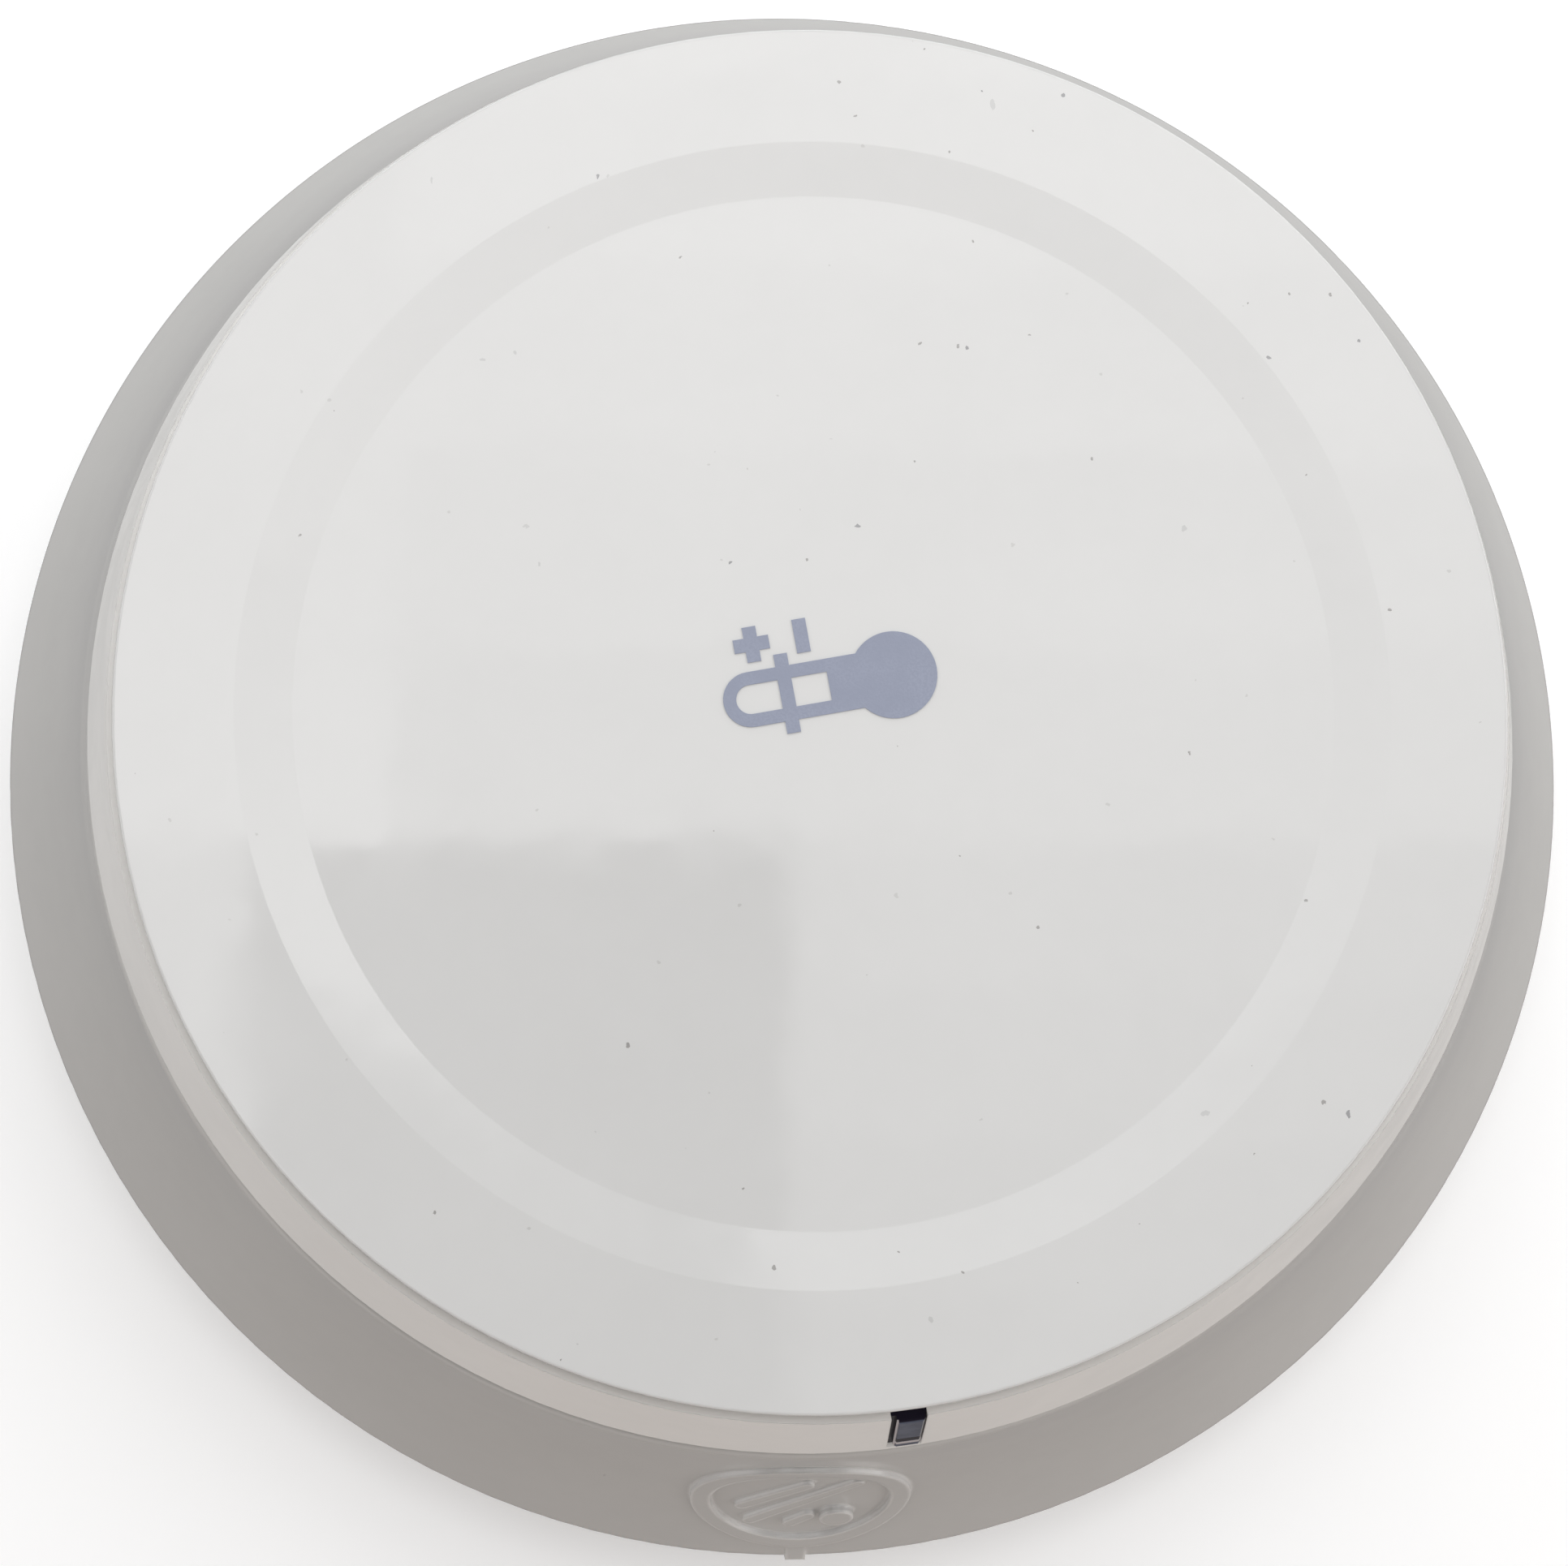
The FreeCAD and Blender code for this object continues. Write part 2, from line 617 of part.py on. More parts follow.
def make_base_housing():
    foot_z = SKIRT_LIFT
    rim_under = RIM_Z - RIM_T
    skirt_foot_r = BASE_R - SKIRT_DRAFT
    outer = [
        V(skirt_foot_r, 0, foot_z),
        V(BASE_R, 0, SKIRT_H),
    ]
    inner_foot_r = flare_r(SKIRT_H, SHELL_T)
    inner = [
        V(RIM_R, 0, RIM_Z),
        V(RIM_IN_R, 0, RIM_Z),
        V(RIM_IN_R, 0, rim_under),
        V(flare_r(rim_under, SHELL_T), 0, rim_under),
    ]
    skirt = [
        V(inner_foot_r, 0, SKIRT_H),
        V(SKIRT_IN_R, 0, SKIRT_H),
        V(SKIRT_IN_R, 0, foot_z),
        V(skirt_foot_r, 0, foot_z),
    ]
    edges = Part.makePolygon(outer).Edges
    edges += [flare_arc(0, SKIRT_H, RIM_Z)]
    edges += Part.makePolygon(inner).Edges
    edges += [flare_arc(SHELL_T, SKIRT_H, rim_under)]
    edges += Part.makePolygon(skirt).Edges
    face = Part.Face(Part.Wire(Part.__sortEdges__(edges)))
    shell = face.revolve(V(0, 0, 0), UP, 360)
    shell = shell.makeFillet(FOOT_ROUND, circle_edges(shell, BASE_R, SKIRT_H))
    shell = shell.makeFillet(RIM_ROUND, circle_edges(shell, RIM_R, RIM_Z))
    ledge = tube(SKIRT_IN_R - LEDGE_W, SKIRT_IN_R + SHELL_T / 4, COVER_TOP, COVER_TOP + LEDGE_T)
    for piece in [ledge] + make_bosses() + [make_mark_rib()] + make_emblem():
        shell = shell.fuse(piece)
    for at in range(SCREW_COUNT):
        x, y = polar(SCREW_CIRCLE_R, at * 360.0 / SCREW_COUNT)
        depth = SCREW_SEAT_Z + SCREW_L + SCREW_FIT
        shell = shell.cut(rod(SCREW_R + SCREW_FIT, COVER_TOP, depth, x, y))
    return shell


def make_bosses():
    """Screw bosses behind the flare, each on a rib."""
    top = SCREW_SEAT_Z + SCREW_L + BOSS_WALL
    boss = rod(SCREW_R + BOSS_WALL, COVER_TOP, top, SCREW_CIRCLE_R)
    rib_end = min(flare_r(top, SHELL_T / 2), SKIRT_IN_R)
    rib = block(SCREW_CIRCLE_R, rib_end, -BOSS_RIB_T / 2, BOSS_RIB_T / 2, COVER_TOP, top)
    return around(join([boss, rib]), SCREW_COUNT)


def make_mark_rib():
    """The small rib at the bottom of the outline that shows where the head lines up."""
    top = SKIRT_H + MARK_RIB_UP
    low = SKIRT_LIFT
    out = BASE_R + MARK_RIB_OUT
    back = BASE_R - SHELL_T / 2
    outline = [
        V(0, -back, low),
        V(0, -(out - SKIRT_DRAFT), low),
        V(0, -out, SKIRT_H),
        V(0, -flare_r(top), top),
        V(0, -(flare_r(top) - SHELL_T / 2), top),
    ]
    face = Part.Face(Part.makePolygon(outline + outline[:1]))
    rib = face.extrude(V(MARK_RIB_W, 0, 0))
    rib.translate(V(-MARK_RIB_W / 2, 0, 0))
    return rib


def flare_skin(height):
    """A thin piece of the flare round the emblem, raised by height."""
    low = SKIRT_H + RIM_ROUND
    high = RIM_Z - RIM_ROUND
    outer = flare_arc(-height, low, high)
    inner = flare_arc(SHELL_T / 4, low, high)
    ends = [
        Part.makeLine(outer.Vertexes[0].Point, inner.Vertexes[0].Point),
        Part.makeLine(outer.Vertexes[-1].Point, inner.Vertexes[-1].Point),
    ]
    face = Part.Face(Part.Wire(Part.__sortEdges__([outer, inner] + ends)))
    half_deg = math.degrees(EMBLEM_ROOM * EMBLEM_R / RIM_R)
    skin = face.revolve(V(0, 0, 0), UP, 2 * half_deg)
    return spun(skin, -90 - half_deg)


def on_flare(shape):
    """Places a shape, drawn flat round the origin, square on the flare at the emblem's centre."""
    angle = FLARE_FOOT - EMBLEM_UP / FLARE_RADIUS
    r = FLARE_CENTRE_R - FLARE_RADIUS * math.cos(angle)
    z = FLARE_CENTRE_Z - FLARE_RADIUS * math.sin(angle)
    tilt = FreeCAD.Rotation(V(1, 0, 0), 90 - math.degrees(angle))
    copy = shape.copy()
    copy.Placement = FreeCAD.Placement(V(0, -r, z), tilt).multiply(copy.Placement)
    return copy


def stroke(x0, y0, x1, y1, width, reach):
    """A bar with round ends between two points, standing through the emblem's plane."""
    length = math.hypot(x1 - x0, y1 - y0) + width
    bar = slot(width, length, -reach, reach)
    bar.rotate(V(0, 0, 0), UP, math.degrees(math.atan2(y1 - y0, x1 - x0)))
    bar.translate(V((x0 + x1) / 2, (y0 + y1) / 2, 0))
    return bar


def make_emblem():
    """A raised ring with slanting strokes and a round boss."""
    reach = 2 * SHELL_T
    inner = EMBLEM_R - EMBLEM_BAND
    unit = inner / 6
    band = flare_skin(EMBLEM_H).common(on_flare(tube(inner, EMBLEM_R, -reach, reach)))
    skin = flare_skin(STROKE_H)
    raised = []
    for ends in STROKES:
        x0, y0, x1, y1 = (unit * value for value in ends)
        raised.append(skin.common(on_flare(stroke(x0, y0, x1, y1, STROKE_W, reach))))
    pin = rod(DOT_R, -reach, reach, unit * DOT_AT[0], unit * DOT_AT[1])
    dot = flare_skin(DOT_H).common(on_flare(pin))
    return [band] + raised + [dot]


# Air inlet
def make_inlet_cage():
    ring_top = RIM_Z + CAGE_RING_T
    fin_in = CAGE_IN_R + LEG_T / 2
    fin_out = fin_in + FIN_L
    ring = tube(CAGE_IN_R, fin_out + LEG_T, RIM_Z, ring_top)
    fin_z = ring_top - CAGE_RING_T / 2
    fin = block(fin_in, fin_out, -FIN_T / 2, FIN_T / 2, fin_z, DECK_Z + DECK_T / 2)
    leg_z = RIM_Z - RIM_T - LEG_GAP
    leg_out = CAGE_IN_R + LEG_T
    barb_z = leg_z - LEG_BARB_H
    leg = block(CAGE_IN_R, leg_out, -LEG_W / 2, LEG_W / 2, barb_z, ring_top)
    leg_curve = rod(leg_out, barb_z, ring_top)
    barb = block(CAGE_IN_R, leg_out + LEG_BARB, -LEG_W / 2, LEG_W / 2, barb_z, leg_z)
    nib_z = DECK_Z + (DECK_T - NIB_H) / 2
    nib = sector(DECK_R - DECK_T, DECK_R + NIB_REACH, nib_z, nib_z + NIB_H, -NIB_DEG / 2, NIB_DEG / 2)
    bush = rod(PUSH_R + PUSH_GAP + BUSH_T, DECK_Z, DECK_TOP + BUSH_H)
    peg = rod(PEG_R, DECK_TOP - DECK_T / 2, DECK_TOP + PEG_H, GUIDE_R)
    pieces = [ring, rod(DECK_R, DECK_Z, DECK_TOP), bush]
    pieces += around(fin, FIN_COUNT, 180.0 / FIN_COUNT)
    pieces += around(join([leg.common(leg_curve), barb]), LEG_COUNT, 180.0 / LEG_COUNT)
    pieces += around(nib, NIB_COUNT, NIB_START_DEG)
    pieces += around(peg, GUIDE_COUNT, SPRING_START_DEG)
    cage = join(pieces)
    cage = cage.cut(rod(PUSH_R + PUSH_GAP, DECK_Z, DECK_TOP + BUSH_H))
    hole_l = GUIDE_T + 2 * GUIDE_GAP
    hole_w = GUIDE_W + 2 * GUIDE_GAP
    hole = centred(GUIDE_R, 0, hole_l, hole_w, DECK_Z, DECK_TOP)
    for opening in around(hole, GUIDE_COUNT, GUIDE_START_DEG):
        cage = cage.cut(opening)
    for i in range(GRILLE_COUNT):
        y = SOUNDER_Y + (i - (GRILLE_COUNT - 1) / 2) * GRILLE_STEP
        cage = cage.cut(slot(GRILLE_W, GRILLE_L, DECK_Z, DECK_TOP, SOUNDER_X, y))
    x, y = polar(PIPE_AT_R, LENS_DEG)
    cage = cage.cut(rod(PIPE_R + PUSH_GAP, DECK_Z, DECK_TOP, x, y))
    room_half = NOTCH_W / 2 + LENS_GAP
    room_z = BEZEL_Z + NOTCH_FOOT - LENS_GAP
    lens_room = block(BORE_R - LENS_GAP, BEZEL_FOOT_R, -room_half, room_half, room_z, DECK_TOP)
    return cage.cut(spun(lens_room, LENS_DEG))


# Bezel
def make_bezel():
    step_r = DECK_R + DECK_INSET
    meet_z = BEZEL_Z + (BEZEL_FOOT_R - BEZEL_T - BORE_R) / BEZEL_LEAN
    outline = [
        (step_r, BEZEL_Z),
        (BEZEL_FOOT_R, BEZEL_Z),
        (BEZEL_TOP_R, BEZEL_TOP),
        (BORE_R, BEZEL_TOP - BEZEL_CHAMFER),
        (BORE_R, meet_z),
        (bezel_r(DECK_TOP) - BEZEL_T, DECK_TOP),
        (step_r, DECK_TOP),
    ]
    shell = lathe(outline)
    shell = shell.makeFillet(BEZEL_ROUND, circle_edges(shell, BEZEL_FOOT_R, BEZEL_Z))
    pocket_z = DECK_Z + (DECK_T - NIB_H) / 2 - DECK_INSET
    pocket_top = pocket_z + NIB_H + 2 * DECK_INSET
    pocket_out = DECK_R + NIB_REACH + DECK_INSET
    pocket_half = NIB_DEG / 2 + NIB_ROOM_DEG
    pocket = sector(DECK_R - DECK_T, pocket_out, pocket_z, pocket_top, -pocket_half, pocket_half)
    for opening in around(pocket, NIB_COUNT, NIB_START_DEG):
        shell = shell.cut(opening)
    notch = block(BORE_R - DISC_GAP, BEZEL_FOOT_R, -NOTCH_W / 2, NOTCH_W / 2, BEZEL_Z + NOTCH_FOOT, BEZEL_TOP)
    return shell.cut(spun(notch, LENS_DEG))


# Indicator
def lens_outline(offset, z0, z1):
    """Side view of a lens block: flat at the back, parallel to the bezel's face in front."""
    back = BORE_R
    points = [(back, z0), (bezel_r(z0) + offset, z0), (bezel_r(z1) + offset, z1), (back, z1)]
    return [V(r, 0, z) for r, z in points]


def lens_block(offset, z0, z1, y0, y1):
    corners = lens_outline(offset, z0, z1)
    face = Part.Face(Part.makePolygon(corners + corners[:1]))
    body = face.extrude(V(0, y1 - y0, 0))
    body.translate(V(0, y0, 0))
    return body


def make_indicator_lens():
    """A smoked window: a shoulder that fills the notch, and a raised block with bevelled edges."""
    foot = BEZEL_Z + NOTCH_FOOT
    half = NOTCH_W / 2
    top = BEZEL_TOP - BEZEL_CHAMFER
    shoulder = lens_block(-LENS_SET, foot, top, -half, half)
    raised = lens_block(LENS_PROUD, foot + LENS_FOOT_GAP, top, -half + LENS_LEFT_GAP, half - LENS_RIGHT_GAP)
    front = [e for e in raised.Edges if all(v.X > bezel_r(v.Z) + LENS_PROUD / 2 for v in e.Vertexes)]
    raised = raised.makeChamfer(LENS_EDGE, front)
    return spun(join([shoulder, raised]), LENS_DEG)


def make_light_pipe():
    """A clear rod from the LED up through the deck, with an arm to the back of the lens."""
    low = BOARD_TOP + LED_H + LED_GAP
    arm_z = DECK_TOP + PIPE_ARM_LIFT
    top = arm_z + PIPE_ARM_H
    upright = rod(PIPE_R, low, top, PIPE_AT_R)
    arm = block(PIPE_AT_R, BORE_R, -NOTCH_W / 2 + DISC_GAP, NOTCH_W / 2 - DISC_GAP, arm_z, top)
    return spun(join([upright, arm]), LENS_DEG)


def make_status_led():
    led = centred(PIPE_AT_R, 0, PIPE_R, 2 * PIPE_R, BOARD_TOP, BOARD_TOP + LED_H / 2)
    dome = centred(PIPE_AT_R, 0, PIPE_R, PIPE_R, BOARD_TOP, BOARD_TOP + LED_H)
    return spun(join([led, dome]), LENS_DEG)


# Front disc
def make_test_disc():
    dish_z = DISC_TOP - DISH_DEPTH
    outline = [
        (0, DISC_UNDER),
        (DISC_R - DISC_SKIRT_T, DISC_UNDER),
        (DISC_R - DISC_SKIRT_T, DISC_SKIRT_Z),
        (DISC_R, DISC_SKIRT_Z),
        (DISC_R, DISC_TOP),
        (DISH_R + DISH_SLOPE_W, DISC_TOP),
        (DISH_R, dish_z),
        (0, dish_z),
    ]
    plate = lathe(outline)
    plate = plate.makeFillet(DISC_EDGE, circle_edges(plate, DISC_R, DISC_TOP))
    inside = DISC_UNDER + DISC_T / 4
    push_rod = rod(PUSH_R, PLUNGER_TOP + PLUNGER_TOUCH, inside)
    rib_z = DISC_UNDER - DISC_RIB_H
    rib_ring = tube(DISC_RIB_R, DISC_RIB_R + DISC_RIB_T, rib_z, inside)
    rib = block(DISC_RIB_R, DISC_R - DISC_SKIRT_T / 2, -DISC_RIB_T / 2, DISC_RIB_T / 2, rib_z, inside)
    barb_z = DECK_Z - PUSH_GAP
    tip_z = barb_z - GUIDE_BARB_H
    leg = centred(GUIDE_R, 0, GUIDE_T, GUIDE_W, tip_z, inside)
    leg_in = GUIDE_R - GUIDE_T / 2
    leg_out = GUIDE_R + GUIDE_T / 2
    barb = [
        V(leg_in, 0, tip_z),
        V(leg_out, 0, tip_z),
        V(leg_out + GUIDE_BARB, 0, barb_z - GUIDE_BARB_EDGE),
        V(leg_out + GUIDE_BARB, 0, barb_z),
        V(leg_in, 0, barb_z),
    ]
    hook = Part.Face(Part.makePolygon(barb + barb[:1])).extrude(V(0, GUIDE_W, 0))
    hook.translate(V(0, -GUIDE_W / 2, 0))
    peg = rod(PEG_R, DISC_UNDER - PEG_H, inside, GUIDE_R)
    pieces = [plate, push_rod, rib_ring]
    pieces += around(rib, DISC_RIB_COUNT)
    pieces += around(join([leg, hook]), GUIDE_COUNT, GUIDE_START_DEG)
    pieces += around(peg, GUIDE_COUNT, SPRING_START_DEG)
    return join(pieces)


def make_printed_symbol():
    """A thermometer lying on its side, with a plus and a minus beside it."""
    low = DISC_TOP - DISH_DEPTH
    high = low + PRINT_T
    body = join([
        block(0, TUBE_L, -TUBE_HALF_W, TUBE_HALF_W, low, high),
        rod(TUBE_HALF_W, low, high),
        rod(BULB_R, low, high, TUBE_L),
    ])
    inner = TUBE_HALF_W - TUBE_LINE
    window = join([block(0, FILL_START, -inner, inner, low, high), rod(inner, low, high)])
    tick = centred(TICK_AT, 0, TICK_W, TICK_L, low, high)
    thermometer = join([body.cut(window), tick])
    plus = join([
        centred(PLUS_AT[0], PLUS_AT[1], 2 * PLUS_ARM, TICK_W, low, high),
        centred(PLUS_AT[0], PLUS_AT[1], TICK_W, 2 * PLUS_ARM, low, high),
    ])
    minus = centred(MINUS_AT[0], MINUS_AT[1], TICK_W, MINUS_L, low, high)
    symbol = group([thermometer, plus, minus])
    symbol.rotate(V(0, 0, 0), UP, SYMBOL_TILT_DEG)
    symbol.translate(V(SYMBOL_X, SYMBOL_Y, 0))
    return symbol


def make_return_spring():
    """One open-ended compression spring between the deck and the disc."""
    low = DECK_TOP + SPRING_WIRE_R
    high = DISC_UNDER - SPRING_WIRE_R
    pitch = (high - low) / SPRING_TURNS
    path = Part.makeHelix(pitch, high - low, SPRING_R)
    path.translate(V(0, 0, low))
    section = Part.Wire(Part.makeCircle(SPRING_WIRE_R, V(SPRING_R, 0, low), V(0, 1, 0)))
    coil = Part.Wire(path.Edges).makePipeShell([section], True, True)
    coil.translate(V(GUIDE_R, 0, 0))
    return coil


# Test switch
def make_test_switch_body():
    body = centred(0, 0, SWITCH_W, SWITCH_W, BOARD_TOP, SWITCH_TOP)
    well_z = SWITCH_TOP - DISC_TRAVEL - 2 * SPARE_TRAVEL
    body = body.cut(rod(PLUNGER_R + PLUNGER_FIT, well_z, SWITCH_TOP))
    pins = [
        centred(x, y, CONTACT_R, 2 * CONTACT_R, BOARD_Z, BOARD_TOP)
        for x in (-SWITCH_W / 2 + CONTACT_R, SWITCH_W / 2 - CONTACT_R)
        for y in (-SWITCH_PIN_Y, SWITCH_PIN_Y)
    ]
    return join([body] + pins)


def make_switch_plunger():
    return rod(PLUNGER_R, SWITCH_TOP - SPARE_TRAVEL, PLUNGER_TOP)


# Circuit board
def make_circuit_board():
    board = rod(BOARD_R, BOARD_Z, BOARD_TOP)
    cut_x = CELL_X - CELL_R - CELL_GAP
    cut_y = CELL_HALF_L + CELL_GAP
    board = board.cut(block(cut_x, 2 * BOARD_R, -cut_y, cut_y, BOARD_Z, BOARD_TOP))
    for x, y in STANDOFFS:
        board = board.cut(rod(BOARD_SCREW_R + SCREW_FIT, BOARD_Z, BOARD_TOP, x, y))
    for x, y in thermistor_leads():
        board = board.cut(rod(LEAD_R + SCREW_FIT, BOARD_Z, BOARD_TOP, x, y))
    pins = make_test_switch_body().common(board)
    return board.cut(pins)


def make_board_screws():
    screws = []
    for x, y in STANDOFFS:
        head = rod(BOARD_SCREW_HEAD_R, BOARD_TOP, BOARD_TOP + BOARD_SCREW_HEAD_H, x, y)
        shank = rod(BOARD_SCREW_R, BOARD_TOP - BOARD_SCREW_L, BOARD_TOP, x, y)
        head_top = BOARD_TOP + BOARD_SCREW_HEAD_H
        recess = cross(x, y, BOARD_SCREW_R, head_top - BOARD_SCREW_HEAD_H / 2, head_top)
        screws.append(join([head, shank]).cut(recess))
    return group(screws)


# Heat sensor
def thermistor_leads():
    """The places of the two leads on the board."""
    r = BOARD_R - THERMISTOR_IN
    half_deg = math.degrees(LEAD_STEP / 2 / r)
    return [polar(r, THERMISTOR_DEG - half_deg), polar(r, THERMISTOR_DEG + half_deg)]


def make_thermistor():
    """A glass bead on two leads, held up in the air stream under the deck."""
    bead_z = DECK_Z - BEAD_BELOW_DECK
    x, y = polar(BOARD_R - THERMISTOR_IN, THERMISTOR_DEG)
    bead = Part.makeSphere(BEAD_R, V(x, y, bead_z))
    leads = [rod(LEAD_R, BOARD_Z, bead_z, lx, ly) for lx, ly in thermistor_leads()]
    return join([bead] + leads)


def make_thermistor_sleeves():
    low = BOARD_TOP + SCREW_FIT
    bore_r = LEAD_R + SCREW_FIT
    return group([tube(bore_r, SLEEVE_R, low, low + SLEEVE_H, x, y) for x, y in thermistor_leads()])


# Battery
def make_battery_cell():
    can = Part.makeCylinder(CELL_R, CELL_L, V(CELL_X, -CELL_HALF_L, CELL_Z), V(0, 1, 0))
    ends = [e for e in can.Edges if isinstance(e.Curve, Part.Circle)]
    can = can.makeFillet(CELL_BUTTON_H / 2, ends)
    button_at = V(CELL_X, CELL_HALF_L - 2 * CELL_BUTTON_H, CELL_Z)
    button = Part.makeCylinder(CELL_BUTTON_R, 2 * CELL_BUTTON_H, button_at, V(0, 1, 0))
    return join([can, button])


def make_battery_pad():
    length = 2 * (CRADLE_Y - CRADLE_T)
    pad = centred(CELL_X, 0, PAD_W, length, COVER_TOP, COVER_TOP + 2 * PAD_T)
    cell = Part.makeCylinder(CELL_R, CELL_L, V(CELL_X, -CELL_HALF_L, CELL_Z), V(0, 1, 0))
    return pad.cut(cell)


def make_battery_tabs():
    """Nickel strips from the battery's ends over the board's edge."""
    strips = []
    for side in (-1, 1):
        face_y = side * CELL_HALF_L
        far_y = face_y + side * TAB_STRIP_T
        lap_y = face_y + side * (CELL_GAP + TAB_STRIP_LAP)
        low, high = min(face_y, far_y), max(face_y, far_y)
        lap_low, lap_high = min(face_y, lap_y), max(face_y, lap_y)
        x0 = CELL_X - TAB_STRIP_W / 2
        x1 = CELL_X + TAB_STRIP_W / 2
        riser = block(x0, x1, low, high, CELL_Z - TAB_STRIP_W / 2, BOARD_TOP + TAB_STRIP_T)
        lap = block(x0, x1, lap_low, lap_high, BOARD_TOP, BOARD_TOP + TAB_STRIP_T)
        strips.append(join([riser, lap]))
    return group(strips)


# Sounder
def make_sounder_housing():
    top = BOARD_TOP + SOUNDER_H
    step_r = SOUNDER_R - SOUNDER_T - CLAMP_T / 2
    seat_z = BOARD_TOP + PIEZO_Z + PIEZO_T
    cup = rod(SOUNDER_R, BOARD_TOP, top, SOUNDER_X, SOUNDER_Y)
    cup = cup.cut(rod(SOUNDER_R - SOUNDER_T, BOARD_TOP, seat_z, SOUNDER_X, SOUNDER_Y))
    cup = cup.cut(rod(step_r, seat_z, top - SOUNDER_T, SOUNDER_X, SOUNDER_Y))
    return cup.cut(rod(SOUNDER_HOLE_R, seat_z, top, SOUNDER_X, SOUNDER_Y))


def make_sounder_clamp_ring():
    outer = SOUNDER_R - SOUNDER_T - SCREW_FIT
    return tube(PIEZO_R - CLAMP_T, outer, BOARD_TOP, BOARD_TOP + PIEZO_Z, SOUNDER_X, SOUNDER_Y)


def make_piezo_disc():
    low = BOARD_TOP + PIEZO_Z
    return rod(PIEZO_R, low, low + PIEZO_T, SOUNDER_X, SOUNDER_Y)


def make_piezo_ceramic():
    high = BOARD_TOP + PIEZO_Z
    return rod(CERAMIC_R, high - CERAMIC_T, high, SOUNDER_X, SOUNDER_Y)


def make_sounder_contacts():
    """Three sprung pins that touch the ceramic and the brass from below."""
    piezo_z = BOARD_TOP + PIEZO_Z
    ceramic_z = piezo_z - CERAMIC_T
    brass_x = (CERAMIC_R + PIEZO_R - CLAMP_T) / 2
    places = ((0, ceramic_z), (CERAMIC_R / 2, ceramic_z), (brass_x, piezo_z))
    return group([rod(CONTACT_R, BOARD_TOP, top, SOUNDER_X + x, SOUNDER_Y) for x, top in places])


# Radio, processor and power parts
def make_radio_board():
    return centred(RADIO_X, RADIO_Y, RADIO_W, RADIO_L, BOARD_TOP, BOARD_TOP + RADIO_T)


def make_radio_shield():
    low = BOARD_TOP + RADIO_T
    y = RADIO_Y - (RADIO_L - RADIO_W) / 2
    can = centred(RADIO_X, y, SHIELD_W, SHIELD_W, low, low + SHIELD_H)
    inside_w = SHIELD_W - 2 * SHIELD_T
    return can.cut(centred(RADIO_X, y, inside_w, inside_w, low, low + SHIELD_H - SHIELD_T))


def make_antenna_wire():
    """A bare wire along the board's edge, between two posts."""
    r = BOARD_R - ANTENNA_IN
    z = BOARD_TOP + ANTENNA_UP
    section = Part.Face(Part.Wire(Part.makeCircle(ANTENNA_R, V(r, 0, z), V(0, 1, 0))))
    arc = spun(section.revolve(V(0, 0, 0), UP, ANTENNA_TO_DEG - ANTENNA_FROM_DEG), ANTENNA_FROM_DEG)
    posts = []
    for degrees in (ANTENNA_FROM_DEG, ANTENNA_TO_DEG):
        x, y = polar(r, degrees)
        posts.append(rod(ANTENNA_POST_R, BOARD_TOP, z + ANTENNA_R + ANTENNA_POST_OVER, x, y))
    return join([arc] + posts)


def make_microcontroller():
    chip = centred(CHIP_X, CHIP_Y, CHIP_W, CHIP_W, BOARD_TOP, BOARD_TOP + CHIP_H)
    pins = []
    step = CHIP_W / (CHIP_PINS + 1)
    for i in range(CHIP_PINS):
        offset = (i - (CHIP_PINS - 1) / 2) * step
        for sx, sy in ((1, 0), (-1, 0), (0, 1), (0, -1)):
            x = CHIP_X + sx * CHIP_W / 2 + sy * offset
            y = CHIP_Y + sy * CHIP_W / 2 + sx * offset
            wide = (step / 2, 2 * step) if sy else (2 * step, step / 2)
            pins.append(centred(x, y, wide[0], wide[1], BOARD_TOP, BOARD_TOP + CHIP_PIN_T))
    return join([chip] + pins)


def make_boost_inductor():
    top = BOARD_TOP + COIL_H
    core = [
        rod(COIL_R, BOARD_TOP, BOARD_TOP + COIL_FLANGE_T, COIL_X, COIL_Y),
        rod(COIL_WAIST_R, BOARD_TOP, top, COIL_X, COIL_Y),
        rod(COIL_R, top - COIL_FLANGE_T, top, COIL_X, COIL_Y),
    ]
    return join(core)


def make_capacitors():
    cans = []
    for side in (-1, 1):
        x = side * CAN_STEP / 2
        base = centred(x, CAN_Y, 2 * CAN_R, 2 * CAN_R, BOARD_TOP, BOARD_TOP + CAN_FOOT_H)
        cans.append(join([base, rod(CAN_R, BOARD_TOP, BOARD_TOP + CAN_H, x, CAN_Y)]))
    return group(cans)


